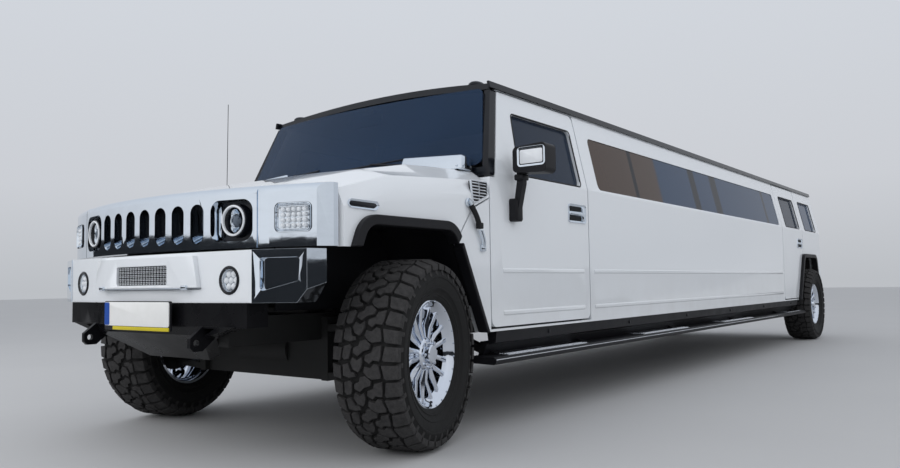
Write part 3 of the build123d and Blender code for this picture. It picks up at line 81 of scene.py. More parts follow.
# %% Place of the front axle in the frame
WHEELBASE = 7790.0
rear_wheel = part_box("rim_rear_left")
AXLE_Y = (rear_wheel[0][1] + rear_wheel[1][1]) / 2 - WHEELBASE / 1000
TO_FRAME = Matrix.Translation((0, AXLE_Y, 0)) @ Matrix.Scale(0.001, 4)
print("front axle at y", round(AXLE_Y, 4))

# %% [markdown]
# A finish is a tree of shader nodes. Writing maths on its sockets as plain Python keeps the recipes short:
# a small class wraps a socket, and each operator on it adds the Math node that does the sum.


# %% Maths on shader sockets
class Value:
    """An output of a shader tree that can be used in sums."""

    def __init__(self, tree, socket):
        self.tree = tree
        self.socket = socket

    def join(self, operation, first, second):
        """Math node of two values."""
        node = self.tree.nodes.new("ShaderNodeMath")
        node.operation = operation
        for socket, value in zip(node.inputs, (first, second)):
            feed(self.tree, socket, value)
        return Value(self.tree, node.outputs[0])

    def __add__(self, other):
        return self.join("ADD", self, other)

    def __radd__(self, other):
        return self.join("ADD", other, self)

    def __sub__(self, other):
        return self.join("SUBTRACT", self, other)

    def __rsub__(self, other):
        return self.join("SUBTRACT", other, self)

    def __mul__(self, other):
        return self.join("MULTIPLY", self, other)

    def __rmul__(self, other):
        return self.join("MULTIPLY", other, self)

    def __or__(self, other):
        return self.join("MAXIMUM", self, other)

    def __gt__(self, other):
        return self.join("GREATER_THAN", self, other)

    def __lt__(self, other):
        return self.join("LESS_THAN", self, other)


def feed(tree, socket, value):
    """Puts a number, a colour or another node's output into a socket."""
    if isinstance(value, Value):
        tree.links.new(value.socket, socket)
    elif isinstance(value, tuple) and len(value) == 3 and socket.type == "RGBA":
        socket.default_value = (*value, 1)
    else:
        socket.default_value = value


# %% [markdown]
# The steps that every recipe takes are named once: a noise on the object's own coordinates, a blend of two
# colours, a value held between two limits. A Recipe writes them into a tree of nodes, of a material or of the
# world.


# %% Recipes of nodes
class Recipe:
    """Shader nodes that are added to a tree."""

    def __init__(self, tree):
        self.tree = tree

    def node(self, kind, settings=None, inputs=None, output=0):
        """Adds a node: its settings first, then what its sockets get. Returns one of its outputs."""
        node = self.tree.nodes.new("ShaderNode" + kind)
        for name, value in (settings or {}).items():
            if name == "ramp":
                stops = node.color_ramp.elements
                while len(stops) < len(value):
                    stops.new(0.5)
                for stop, (place, colour) in zip(stops, value):
                    stop.position = place
                    stop.color = (*colour, 1)
            else:
                setattr(node, name, value)
        for name, value in (inputs or {}).items():
            feed(self.tree, node.inputs[name], value)
        return Value(self.tree, node.outputs[output])

    def place(self):
        """Object coordinates, in metres."""
        return self.node("TexCoord", output=3)

    def noise(self, scale, detail=3.0, rough=0.5, stretch=None):
        """Cloudy grey of about 0.3 to 0.7."""
        at = self.place()
        if stretch:
            at = self.node("Mapping", None, {"Vector": at, "Scale": stretch})
        sockets = {"Vector": at, "Scale": scale, "Detail": detail, "Roughness": rough}
        return self.node("TexNoise", None, sockets)

    def mix(self, share, first, second):
        """Blend of two colours."""
        return self.node("Mix", {"data_type": "RGBA"}, {0: share, 6: first, 7: second}, 2)

    def ramp(self, value, low, high):
        """Value mapped from low..high to 0..1 and held there."""
        return self.node("MapRange", {"clamp": True}, {"Value": value, "From Min": low, "From Max": high})


# %% [markdown]
# A Finish is the recipe of one material. Its single Principled shader makes paint, metal, glass or rubber,
# by what its sockets get, and a bump stands for form that is too fine to be modelled.


# %% Materials
class Finish(Recipe):
    """A material round one Principled shader."""

    def __init__(self, name, **surface):
        self.material = bpy.data.materials.new(name)
        self.material.use_nodes = True
        super().__init__(self.material.node_tree)
        self.shader = self.tree.nodes["Principled BSDF"]
        for socket, value in surface.items():
            self.set(socket.replace("_", " ").title().replace("Ior", "IOR"), value)
        print("finish:", name)

    def set(self, socket, value):
        """Puts a value or a link into one of the shader's sockets."""
        feed(self.tree, self.shader.inputs[socket], value)

    def bump(self, height, strength, distance=0.001):
        """Lets a height tilt the light on the surface; the distance is in metres."""
        made = self.node("Bump", None, {"Height": height, "Strength": strength, "Distance": distance})
        self.set("Normal", made)


# %% [markdown]
# White paint under clear lacquer. The lacquer is the shader's coat, glossy and hard, and the paint under it
# is softer. Its faint blue is partly the paint's own and partly painted sky light, the cool cast of the
# shade.
# Orange peel is a faint wide bump, and a trace of road dust greys the foot of the body.

# %% White paint
white_paint = Finish("white_paint", roughness=0.32, coat_weight=1.0, coat_roughness=0.025)
height = white_paint.node("SeparateXYZ", None, {"Vector": white_paint.place()}, 2)
blown = white_paint.ramp(white_paint.noise(3.5, 6.0, 0.6), 0.35, 0.7)
dust = (1 - white_paint.ramp(height, 0.45, 0.85)) * blown
# The two whites are faintly blue: partly painted sky light, the cool cast of the shade
clean = white_paint.mix(white_paint.noise(0.8, 2.0), (0.765, 0.795, 0.83), (0.80, 0.825, 0.85))
white_paint.set("Base Color", white_paint.mix(dust * 0.3, clean, (0.52, 0.50, 0.47)))
white_paint.set("Roughness", 0.3 + dust * 0.25)
white_paint.bump(white_paint.noise(260.0, 1.0), 0.05, 0.0004)

# %% [markdown]
# Chrome plate. A metal is its reflection, so the colour stays pale, and its cool blue is partly the plate's
# own and partly painted reflection of the sky. The roughness does the work: nearly none, with wiped smears a
# little duller than the rest. The four chromes are one plate painted in four tones for the light: the front's
# is darkest, painted shade because it faces the light, and the rims, the vents and what is at the rear get
# lighter tones of the same plate.


# %% Chrome
def chrome_finish(name, colour, low, high):
    """Plated metal whose roughness lies between two values."""
    chrome = Finish(name, metallic=1.0)
    smear = chrome.ramp(chrome.noise(9.0, 5.0, 0.65, (1.0, 1.0, 2.6)), 0.42, 0.75)
    chrome.set("Roughness", low + smear * (high - low))
    chrome.set("Base Color", chrome.mix(smear, colour, tuple(v * 0.96 for v in colour)))
    chrome.bump(chrome.noise(40.0, 2.0), 0.02, 0.0005)
    return chrome


# One plate in four tones painted for the light: the front's is darkest, painted shade because it faces the
# light
chrome = chrome_finish("chrome", (0.70, 0.76, 0.83), 0.025, 0.075)
vent_chrome = chrome_finish("vent_chrome", (0.74, 0.77, 0.81), 0.05, 0.12)
rear_chrome = chrome_finish("rear_chrome", (0.80, 0.82, 0.86), 0.04, 0.10)
wheel_chrome = chrome_finish("wheel_chrome", (0.72, 0.76, 0.83), 0.03, 0.10)

# %% [markdown]
# Plastics. Textured black plastic has a fine leather-like grain that breaks up its shine, and patches where
# it has been rubbed dull. The same recipe with less grain makes smooth black plastic, seals and painted
# steel.


# %% Black plastic
def plastic_finish(name, colour, rough, grain, depth, dusty=0.0):
    """Grained plastic: cells per metre and the depth of the grain, and how dusty its patches are."""
    plastic = Finish(name, specular_ior_level=0.28)
    cells = plastic.node("TexVoronoi", None, {"Vector": plastic.place(), "Scale": grain})
    patch = plastic.ramp(plastic.noise(6.0, 5.0, 0.6), 0.35, 0.75)
    dull = tuple(min(1, v * 1.5 + 0.006) for v in colour)
    plastic.set("Base Color", plastic.mix(patch * (0.35 + dusty), colour, dull))
    plastic.set("Roughness", rough + patch * 0.12)
    plastic.bump(cells, depth, 0.0005)
    return plastic


black_plastic = plastic_finish("black_plastic", (0.006, 0.006, 0.008), 0.46, 420.0, 0.25)
gloss_black = plastic_finish("gloss_black", (0.005, 0.006, 0.009), 0.14, 30.0, 0.0)
skid_black = plastic_finish("skid_black", (0.004, 0.004, 0.005), 0.24, 60.0, 0.0)
skid_black.set("Specular IOR Level", 0.12)
seal_rubber = plastic_finish("seal_rubber", (0.010, 0.010, 0.011), 0.55, 300.0, 0.15)
underbody_steel = plastic_finish("underbody_steel", (0.014, 0.014, 0.014), 0.55, 120.0, 0.2, 0.3)
mesh_black = plastic_finish("mesh_black", (0.004, 0.004, 0.005), 0.6, 200.0, 0.1)

# %% [markdown]
# Rubber. A tyre's wall is nearly black and dull. The blocks that touch the road are scuffed to a paler grey
# and have a coarser grain, so the tread is told from the wall by its finish as well as by its form.

# %% Tyre rubber
tyre_rubber = Finish("tyre_rubber", specular_ior_level=0.3)
wear = tyre_rubber.ramp(tyre_rubber.noise(14.0, 7.0, 0.7), 0.3, 0.75)
tyre_rubber.set("Base Color", tyre_rubber.mix(wear, (0.005, 0.005, 0.005), (0.014, 0.0135, 0.0135)))
tyre_rubber.set("Roughness", 0.62 + wear * 0.25)
tyre_rubber.bump(tyre_rubber.noise(320.0, 6.0, 0.7), 0.4, 0.0006)

tread_rubber = Finish("tread_rubber", specular_ior_level=0.25)
scuff = tread_rubber.ramp(tread_rubber.noise(46.0, 8.0, 0.75), 0.3, 0.7)
tread_rubber.set("Base Color", tread_rubber.mix(scuff, (0.020, 0.0195, 0.020), (0.056, 0.054, 0.054)))
tread_rubber.set("Roughness", 0.8 + scuff * 0.15)
tread_rubber.bump(tread_rubber.noise(240.0, 8.0, 0.75), 0.6, 0.001)

# %% [markdown]
# Tinted glass is dark film behind a hard smooth pane. It is mostly opaque from outside, so it is a glossy
# dark blue with part of it see-through: the cab shows faintly behind it.


# %% Glass
def glass_finish(name, colour, alpha, rough=0.015):
    """Smooth pane with a faintly uneven film."""
    glass = Finish(name, specular_ior_level=0.42, ior=1.28)
    film = glass.noise(2.2, 3.0)
    glass.set("Base Color", glass.mix(film, colour, tuple(v * 1.5 for v in colour)))
    glass.set("Roughness", rough + film * 0.02)
    glass.set("Alpha", alpha)
    return glass


tinted_glass = glass_finish("tinted_glass", (0.016, 0.026, 0.046), 0.80)
screen_glass = glass_finish("screen_glass", (0.012, 0.028, 0.060), 0.70)
lamp_glass = glass_finish("lamp_glass", (0.75, 0.78, 0.80), 0.22)
clear_lens = glass_finish("clear_lens", (0.80, 0.83, 0.86), 0.16)
projector_glass = glass_finish("projector_glass", (0.10, 0.12, 0.15), 0.9)
tail_glass = glass_finish("tail_glass", (0.45, 0.012, 0.010), 0.82)

# %% [markdown]
# The long side window is one strip of glass with dark posts behind it, and the part of it beside the cab
# looks browner, from the panel behind. Its blue is partly the film's tint and partly painted reflection of
# the sky. The posts and the browner part are bands along the vehicle, so they are written as masks: one
# is where a place is past the band's start and before its end, and the two comparisons are multiplied.

# %% Long side window
# STRIP_BLUE is partly the film's tint and partly painted reflection of the sky
STRIP_BLUE, STRIP_BROWN, STRIP_POST = (0.022, 0.050, 0.105), (0.070, 0.046, 0.034), (0.003, 0.004, 0.008)
BROWN_BAND = (1.2, 3.02)
POST_BANDS = [(2.52, 2.58), (3.77, 3.91), (4.32, 4.49), (5.99, 6.06)]

strip_glass = glass_finish("strip_glass", STRIP_BLUE, 0.95)
length = strip_glass.node("SeparateXYZ", None, {"Vector": strip_glass.place()}, 1) - AXLE_Y
near_cab = (length < BROWN_BAND[1]) * (length > BROWN_BAND[0])
posts = [(length > low) * (length < high) for low, high in POST_BANDS]
shades = strip_glass.mix(near_cab, STRIP_BLUE, STRIP_BROWN)
strip_glass.set("Base Color", strip_glass.mix(sum(posts[1:], posts[0]), shades, STRIP_POST))

# %% [markdown]
# Lamp lenses and plates are pale and a little uneven. The plates stay blank.


# %% White lenses and plates
def speckled(finish, scale, detail, first, second):
    """Base colour that wanders between two."""
    finish.set("Base Color", finish.mix(finish.noise(scale, detail), first, second))
    return finish


white_lens = speckled(Finish("white_lens", roughness=0.12, coat_weight=0.6, coat_roughness=0.02), 30.0, 2.0,
                      (0.80, 0.82, 0.84), (0.70, 0.72, 0.75))
plate_white = speckled(Finish("plate_white", roughness=0.3), 18.0, 4.0,
                       (0.80, 0.80, 0.79), (0.72, 0.72, 0.70))
plate_blue = plastic_finish("plate_blue", (0.010, 0.060, 0.300), 0.35, 80.0, 0.05)
plate_yellow = plastic_finish("plate_yellow", (0.520, 0.430, 0.020), 0.4, 80.0, 0.05)

# %% [markdown]
# Inside: grained leather, a soft-touch dashboard, cream trim panels and a varnished walnut bar. The leather's
# creases are the edges of Voronoi cells, and cloudy patches make it darker and duller where it is worn.


# %% Cab and saloon finishes
def leather_finish(name, colour):
    """Grained leather with worn patches."""
    leather = Finish(name, specular_ior_level=0.4)
    grain = leather.node("TexVoronoi", {"feature": "DISTANCE_TO_EDGE"},
                         {"Vector": leather.place(), "Scale": 260.0})
    worn = leather.ramp(leather.noise(5.0, 4.0), 0.4, 0.8)
    leather.set("Base Color", leather.mix(worn, colour, tuple(v * 0.78 for v in colour)))
    leather.set("Roughness", 0.42 + worn * 0.15)
    leather.bump(leather.ramp(grain, 0.0, 0.12), 0.35, 0.0008)
    return leather


cab_leather = leather_finish("cab_leather", (0.055, 0.052, 0.050))
saloon_leather = leather_finish("saloon_leather", (0.50, 0.45, 0.37))
cab_plastic = plastic_finish("cab_plastic", (0.030, 0.030, 0.032), 0.55, 260.0, 0.3)
saloon_panel = plastic_finish("saloon_panel", (0.42, 0.39, 0.34), 0.5, 200.0, 0.2)

bar_wood = Finish("bar_wood", coat_weight=0.8, coat_roughness=0.05)
rings = bar_wood.node("TexWave", {"bands_direction": "Z"},
                      {"Vector": bar_wood.place(), "Scale": 9.0, "Distortion": 7.0, "Detail": 3.0,
                       "Detail Scale": 1.2})
bar_wood.set("Base Color", bar_wood.mix(rings, (0.090, 0.035, 0.014), (0.200, 0.090, 0.038)))
bar_wood.set("Roughness", 0.28 + rings * 0.1)

# %% [markdown]
# The frame's solids are loose triangles with knife-sharp edges, and no pressed panel has those. A copy is
# merged, its flat areas are dissolved to whole faces, and a Bevel modifier rounds every edge a few
# millimetres, which is what catches the light. The copy then stands for the solid.


# %% Rounded copies of the solids
def shade(mesh, angle):
    """Smooth shading, broken at edges sharper than an angle in degrees."""
    mesh.polygons.foreach_set("use_smooth", [True] * len(mesh.polygons))
    mesh.set_sharp_from_angle(angle=radians(angle))


def put(mesh, name, finish, body):
    """Finished object on its body."""
    made = bpy.data.objects.new(name, mesh)
    bpy.context.scene.collection.objects.link(made)
    mesh.materials.clear()
    mesh.materials.append(finish.material)
    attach(made, body)
    print(name, "on", body, "with", len(mesh.polygons), "faces")
    return made


def dress(node, finish, width, angle=28, segments=2):
    """Merged and bevelled copy that stands for a CAD node."""
    copy = bmesh.new()
    copy.from_mesh(nodes[node].data)
    bmesh.ops.remove_doubles(copy, verts=copy.verts, dist=0.00002)
    bmesh.ops.dissolve_limit(copy, angle_limit=radians(0.4), verts=copy.verts, edges=copy.edges)
    mesh = bpy.data.meshes.new(node + "_panel")
    copy.to_mesh(mesh)
    copy.free()
    shade(mesh, angle)
    made = put(mesh, node + "_panel", finish, body_of(nodes[node])[0])
    bevel = made.modifiers.new("edges", "BEVEL")
    bevel.width = width
    bevel.segments = segments
    bevel.limit_method = "ANGLE"
    bevel.angle_limit = radians(angle)
    bevel.harden_normals = True
    bevel.use_clamp_overlap = True
    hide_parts(node)


for finish, width, names in [
    (white_paint, 0.004, "body_sides roof"),
    (white_paint, 0.005, "hood"),
    (white_paint, 0.004, "tailgate"),
    (white_paint, 0.006, "front_bumper"),
    (rear_chrome, 0.006, "rear_bumper"),
    (white_paint, 0.004, "front_door_left front_door_right rear_door_left rear_door_right"),
    (chrome, 0.005, "grille_shell bumper_ends"),
    (vent_chrome, 0.001, "hood_vents"),
    (gloss_black, 0.003, "windscreen_frame"),
    (gloss_black, 0.002, "roof_rails"),
    (skid_black, 0.005, "lower_bumper"),
    (black_plastic, 0.006, "hood_flares wheel_flares mirror_left mirror_right"),
]:
    for node in names.split():
        dress(node, finish, width)

# %% [markdown]
# What lies under the body or behind glass, and the plain boards along the side, need no rounded edges. Those
# solids stay as the frame brings them and get a finish. The lamps, seats, rims and tyres get one as well,
# though detailed pieces stand for them further on.

# %% Finishes of the other solids
for finish, names in [
    (underbody_steel, "frame_rails cross_members radiator engine_block drive_line exhaust front_axle "
                      "rear_axle floor_pan knuckle_left knuckle_right"),
    (black_plastic, "front_liners running_boards rocker_covers"),
    (screen_glass, "windscreen"),
    (strip_glass, "side_glass"),
    (tinted_glass, "tailgate_glass front_door_glass_left front_door_glass_right rear_door_glass_left "
                   "rear_door_glass_right"),
    (lamp_glass, "front_lamps"),
    (tail_glass, "tail_lamps"),
    (cab_leather, "front_seats"),
    (cab_plastic, "dashboard"),
    (saloon_panel, "partition"),
    (saloon_leather, "lounge_seats"),
    (bar_wood, "bar_cabinet"),
    (wheel_chrome, "rim_front_left rim_front_right rim_rear_left rim_rear_right"),
    (tyre_rubber, "tyre_front_left tyre_front_right tyre_rear_left tyre_rear_right"),
]:
    for node in names.split():
        materials = nodes[node].data.materials
        materials.clear()
        materials.append(finish.material)
    print(finish.material.name, "on", names)

# %% [markdown]
# The roof's panel gets gloss black ahead of a line across the vehicle, above the windscreen: the panel is cut
# along the line, and the faces ahead of it get a second finish.

# %% Black edge of the roof
BLACK_EDGE_Y = 0.822
roof_panel = bpy.data.objects["roof_panel"].data
roof_panel.materials.append(gloss_black.material)
edge = bmesh.new()
edge.from_mesh(roof_panel)
bmesh.ops.bisect_plane(edge, geom=edge.verts[:] + edge.edges[:] + edge.faces[:],
                       plane_co=(0, AXLE_Y + BLACK_EDGE_Y, 0), plane_no=(0, 1, 0))
ahead = [face for face in edge.faces if face.calc_center_median().y < AXLE_Y + BLACK_EDGE_Y - 0.001]
for face in ahead:
    face.material_index = 1
edge.to_mesh(roof_panel)
edge.free()
print("faces of the roof's black edge:", len(ahead))

# %% [markdown]
# New pieces are drawn with bmesh operators in millimetres. Most begin as a box, or as a flat outline that is
# extruded. The corners of an outline are rounded while it is flat, and its edges after it has its depth.


# %% Boxes and outlines
def slab(x, y, z, bevel=0.0, segments=2):
    """Box between pairs of limits, its edges rounded."""
    shape = bmesh.new()
    bmesh.ops.create_cube(shape, size=1)
    bmesh.ops.scale(shape, vec=(x[1] - x[0], y[1] - y[0], z[1] - z[0]), verts=shape.verts)
    middle = ((x[0] + x[1]) / 2, (y[0] + y[1]) / 2, (z[0] + z[1]) / 2)
    bmesh.ops.translate(shape, vec=middle, verts=shape.verts)
    if bevel:
        soften(shape, bevel, segments)
    return shape


def soften(shape, width, segments=2, angle=30):
    """Rounds the edges that turn by more than an angle."""
    inner = [edge for edge in shape.edges if len(edge.link_faces) == 2]
    sharp = [edge for edge in inner if edge.calc_face_angle() > radians(angle)]
    bmesh.ops.bevel(shape, geom=sharp, offset=width, offset_type="OFFSET", segments=segments, profile=0.5,
                    affect="EDGES", clamp_overlap=True, material=-1)


def outline(points, view, depth, bevel=0.0, corner=0.0, steps=4, segments=2):
    """Flat outline in front view (xz), side view (yz) or plan (xy), extruded between two depths."""
    shape = bmesh.new()
    place = {"xz": lambda a, b: (a, depth[0], b), "yz": lambda a, b: (depth[0], a, b),
             "xy": lambda a, b: (a, b, depth[0])}[view]
    along = {"xz": Vector((0, 1, 0)), "yz": Vector((1, 0, 0)), "xy": Vector((0, 0, 1))}[view]
    shape.faces.new([shape.verts.new(place(a, b)) for a, b in points])
    if corner:
        bmesh.ops.bevel(shape, geom=list(shape.verts), offset=corner, offset_type="OFFSET", segments=steps,
                        profile=0.5, affect="VERTICES", clamp_overlap=True, material=-1)
    made = bmesh.ops.extrude_face_region(shape, geom=list(shape.faces))["geom"]
    moved = [item for item in made if isinstance(item, bmesh.types.BMVert)]
    bmesh.ops.translate(shape, vec=along * (depth[1] - depth[0]), verts=moved)
    bmesh.ops.recalc_face_normals(shape, faces=shape.faces)
    if bevel:
        soften(shape, bevel, segments)
    return shape


def rectangle(low, high):
    """Corners of a rectangle from two opposite ones."""
    return [(low[0], low[1]), (high[0], low[1]), (high[0], high[1]), (low[0], high[1])]


# %% [markdown]
# What is round is a profile spun about the z axis, as on a lathe. An open profile gives a skin, such as a
# lens, and a closed one a ring. Spin can turn a shape inside out, so its normals are worked out again.


# %% Turned shapes
def turned(profile, steps=48, closed=True):
    """Profile of (radius, z) spun about the z axis."""
    shape = bmesh.new()
    verts = [shape.verts.new((r, 0, z)) for r, z in profile]
    edges = [shape.edges.new(pair) for pair in zip(verts, verts[1:])]
    if closed:
        edges.append(shape.edges.new((verts[-1], verts[0])))
    bmesh.ops.spin(shape, geom=verts + edges, cent=(0, 0, 0), axis=(0, 0, 1), angle=2 * pi, steps=steps,
                   use_merge=True, use_duplicate=False)
    bmesh.ops.remove_doubles(shape, verts=shape.verts, dist=0.001)
    bmesh.ops.recalc_face_normals(shape, faces=shape.faces)
    return shape


def disc(radius, z, bevel=0.0, steps=32):
    """Round bar about the z axis between two heights."""
    shape = bmesh.new()
    bmesh.ops.create_cone(shape, cap_ends=True, segments=steps, radius1=radius, radius2=radius,
                          depth=z[1] - z[0])
    bmesh.ops.translate(shape, vec=(0, 0, (z[0] + z[1]) / 2), verts=shape.verts)
    if bevel:
        soften(shape, bevel, 2, 50)
    return shape


# %% [markdown]
# A round tube follows a curve, and Blender's own curve with a bevel is the short way to one. It is made a
# mesh at once, so that it can be joined to the other shapes of its piece.


# %% Tubes
def pipe(points, radius, steps=10, smooth=True, closed=False):
    """Round tube along points, curved between them or straight."""
    curve = bpy.data.curves.new("pipe", "CURVE")
    curve.dimensions = "3D"
    spline = curve.splines.new("NURBS" if smooth else "POLY")
    spline.points.add(len(points) - 1)
    for point, place in zip(spline.points, points):
        point.co = (*place, 1)
    if smooth:
        spline.order_u = 3
        spline.use_endpoint_u = not closed
    spline.use_cyclic_u = closed
    curve.resolution_u = 8
    curve.bevel_depth = radius
    curve.bevel_resolution = steps // 4
    curve.use_fill_caps = True
    holder = bpy.data.objects.new("pipe", curve)
    mesh = holder.to_mesh()
    shape = bmesh.new()
    shape.from_mesh(mesh)
    holder.to_mesh_clear()
    bpy.data.objects.remove(holder)
    bpy.data.curves.remove(curve)
    return shape


# %% [markdown]
# A Piece gathers shapes, places each copy with a matrix, and is finished as one object. What is alike on both
# sides is drawn once on the left, and its twin is mirrored with its faces turned back outwards.

# %% Pieces
# Turn a shape that was drawn about z, so that it points forwards or to the left
FACING_FRONT = Matrix.Rotation(radians(90), 4, "X")
FACING_LEFT = Matrix.Rotation(radians(90), 4, "Y")


class Piece:
    """Shapes that become one object of one finish."""

    def __init__(self):
        self.mesh = bmesh.new()

    def add(self, shape, *places):
        """Copies a shape in, once for each matrix, and lets it go."""
        loose = bpy.data.meshes.new("loose")
        shape.to_mesh(loose)
        for place in places or (Matrix(),):
            start = len(self.mesh.verts)
            self.mesh.from_mesh(loose)
            self.mesh.verts.ensure_lookup_table()
            bmesh.ops.transform(self.mesh, matrix=place, verts=self.mesh.verts[start:])
        bpy.data.meshes.remove(loose)
        shape.free()

    def done(self, name, finish, body, smooth=35, replaces=(), place=Matrix()):
        """Object on a body, in the frame's metres."""
        mesh = bpy.data.meshes.new(name)
        self.mesh.to_mesh(mesh)
        mesh.transform(TO_FRAME @ place)
        if place.determinant() < 0:
            mesh.flip_normals()
        shade(mesh, smooth)
        made = put(mesh, name, finish, body)
        if replaces:
            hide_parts(*replaces)
        return made

    def both(self, name, finish, bodies, smooth=35):
        """Left piece and its mirrored twin."""
        mirrored = Matrix.Scale(-1, 4, (1, 0, 0))
        for side, body, place in zip(("left", "right"), bodies, (Matrix(), mirrored)):
            self.done(f"{name}_{side}", finish, body, smooth, (), place)
        self.mesh.free()


BOTH_ROOT = ("root", "root")
HOOD_SIDES = ("hood", "hood")
FRONT_DOORS = ("front_door_left", "front_door_right")
REAR_DOORS = ("rear_door_left", "rear_door_right")


# %% [markdown]
# A mud-terrain tyre is a plain carcass with tall separate blocks of rubber. The carcass is one profile spun
# about the axle, with the ribs of its wall and the ledge that guards the rim's edge.

# %% Tyre carcass
TYRE_R = 440.0
TYRE_HALF = 157.4
TREAD_BASE = 423.0


def carcass():
    """Tyre without its blocks, about the z axis."""
    side = [(251, 119), (262, 131), (270, 133), (272, 136), (277, 137), (279, 135), (300, 143), (302, 146),
            (306, 147), (308, 145), (338, 153), (350, 154), (353, TYRE_HALF), (360, TYRE_HALF), (364, 153),
            (384, 149), (402, 140), (416, 126), (421, 110), (TREAD_BASE, 60)]
    mirrored = [(r, -z) for r, z in reversed(side)]
    return turned([(231, 96)] + side + mirrored + [(231, -96)], 72)


# %% [markdown]
# One pitch of the tread is a handful of blocks drawn flat, as on the moulder's drawing, with x round the tyre
# and y across it. They are extruded, bevelled, bent to the tyre's radius and repeated. The rows interlock, so
# no groove runs straight across the tyre.

# %% Tread blocks
PITCHES = 18
PITCH = 2 * pi * TYRE_R / PITCHES

# Corners of each block: x as a share of the pitch, y in millimetres across the tread
BLOCKS = [
    [(0.04, 106), (0.40, 94), (0.47, 100), (0.49, 157), (0.06, 157)],
    [(0.56, 88), (0.92, 100), (0.97, 110), (0.98, 157), (0.58, 157)],
    [(0.01, 90), (0.07, 52), (0.22, 44), (0.30, 14), (0.44, 10), (0.54, 34), (0.44, 50), (0.46, 82),
     (0.34, 88)],
    [(0.55, 76), (0.52, 56), (0.64, 38), (0.60, 10), (0.76, 4), (0.90, 22), (0.97, 44), (0.93, 86),
     (0.82, 88)],
    [(-0.14, 12), (-0.10, -14), (0.04, -20), (0.10, -44), (0.24, -48), (0.34, -22), (0.20, 4), (0.14, 34),
     (0.00, 40)],
    [(0.34, -2), (0.44, -24), (0.36, -48), (0.52, -58), (0.70, -46), (0.78, -20), (0.66, -6), (0.50, 2)],
    [(0.00, -62), (0.06, -92), (0.36, -98), (0.44, -88), (0.42, -66), (0.26, -58), (0.08, -54)],
    [(0.52, -70), (0.56, -96), (0.88, -96), (0.94, -66), (0.90, -34), (0.80, -36), (0.76, -56)],
    [(0.04, -157), (0.45, -157), (0.46, -108), (0.38, -104), (0.08, -100)],
    [(0.54, -157), (0.96, -157), (0.97, -104), (0.60, -104)],
]


def tread_block(corners):
    """One block, drawn flat with its top up and a little smaller than its share, which leaves the grooves."""
    middle = Vector((sum(x for x, y in corners), sum(y for x, y in corners), 0)) / len(corners)
    points = []
    for x, y in corners:
        across = y if abs(y) > 150 else middle.y + (y - middle.y) * 0.965
        points.append(((middle.x + (x - middle.x) * 0.96) * PITCH, across))
    shape = outline(points, "xy", (TREAD_BASE - 8, TYRE_R - 0.5))
    top = [edge for edge in shape.edges if all(vert.co.z > TYRE_R - 1 for vert in edge.verts)]
    bmesh.ops.bevel(shape, geom=top, offset=1.6, offset_type="OFFSET", segments=1, profile=0.5,
                    affect="EDGES", clamp_overlap=True, material=-1)
    return shape


def bend_to_tyre(shape):
    """Wraps flat blocks round the axle and rolls their outer ends down over the shoulders."""
    for vert in shape.verts:
        x, y, z = vert.co
        past = max(0.0, abs(y) - 118.0)
        drop = past * past * 0.0155
        r = z - drop - max(0.0, abs(y) - 40.0) * 0.02
        angle = x / TYRE_R
        vert.co = (r * cos(angle), r * sin(angle), max(-TYRE_HALF, min(TYRE_HALF, y)))


pitch = Piece()
for corners in BLOCKS:
    pitch.add(tread_block(corners))
bend_to_tyre(pitch.mesh)
print("faces of one pitch:", len(pitch.mesh.faces))

# %% [markdown]
# Side biters are the low lugs on the tyre's shoulder, two to a pitch on each wall. They are drawn in side
# view, and their outer face leans in with the wall. Then the pitch is turned round the axle.


# %% Side biters and the whole tread
def around(count, start=0.0, at=Matrix()):
    """Matrices that repeat a shape round the z axis."""
    return [Matrix.Rotation(2 * pi * (place + start) / count, 4, "Z") @ at for place in range(count)]


for side, depth in ((1, (140, 156)), (-1, (-156, -140))):
    biter = outline([(362, 4), (404, 9), (404, 30), (362, 24)], "xy", depth, 2.0, 0, 1, 1)
    for vert in biter.verts:
        if vert.co.z * side > 148:
            vert.co.z -= side * max(0.0, vert.co.x - 372) * 0.28
    pitch.add(biter, Matrix(), Matrix.Rotation(PITCH / TYRE_R / 2, 4, "Z"))
tread = Piece()
tread.add(pitch.mesh, *around(PITCHES))
print("tread faces:", len(tread.mesh.faces))

# %% [markdown]
# The wheels are chromed: a deep outer lip, a dished barrel and eight forked spokes that slope back from the
# hub to the barrel, with a cap and a ring of nuts at the middle. One spoke is drawn and turned eight times.

# %% Wheels
SPOKES = 8
RIM_STUDS = 24


def wheel_barrel():
    """Barrel with its lips and the ledge that carries the spokes."""
    profile = [(250, -118), (250, -108), (231, -96), (229, -40), (229, 60), (231, 96), (250, 108), (251, 118),
               (246, 121), (238, 117), (226, 96), (214, 86), (205, 78), (205, 60), (221, 50), (222, -96),
               (237, -118)]
    return turned(profile, 72)


def spoke():
    """Forked spoke: two ribs from the hub's edge to the barrel, with a web between them."""
    shape = Piece()
    for side in (1, -1):
        rib = [(56, side * 3), (56, side * 22), (128, side * 38), (213, side * 62), (213, side * 36),
               (132, side * 12)]
        shape.add(outline(rib if side > 0 else rib[::-1], "xy", (48, 88), 5.0))
    shape.add(outline([(70, -10), (136, -18), (176, 0), (136, 18), (70, 10)], "xy", (40, 74), 4.0))
    for vert in shape.mesh.verts:
        out = max(0.0, (vert.co.x - 58) / 154)
        vert.co.z -= 16 * sin(out * pi) - (0 if vert.co.z < 60 else 4 * out)
    return shape.mesh


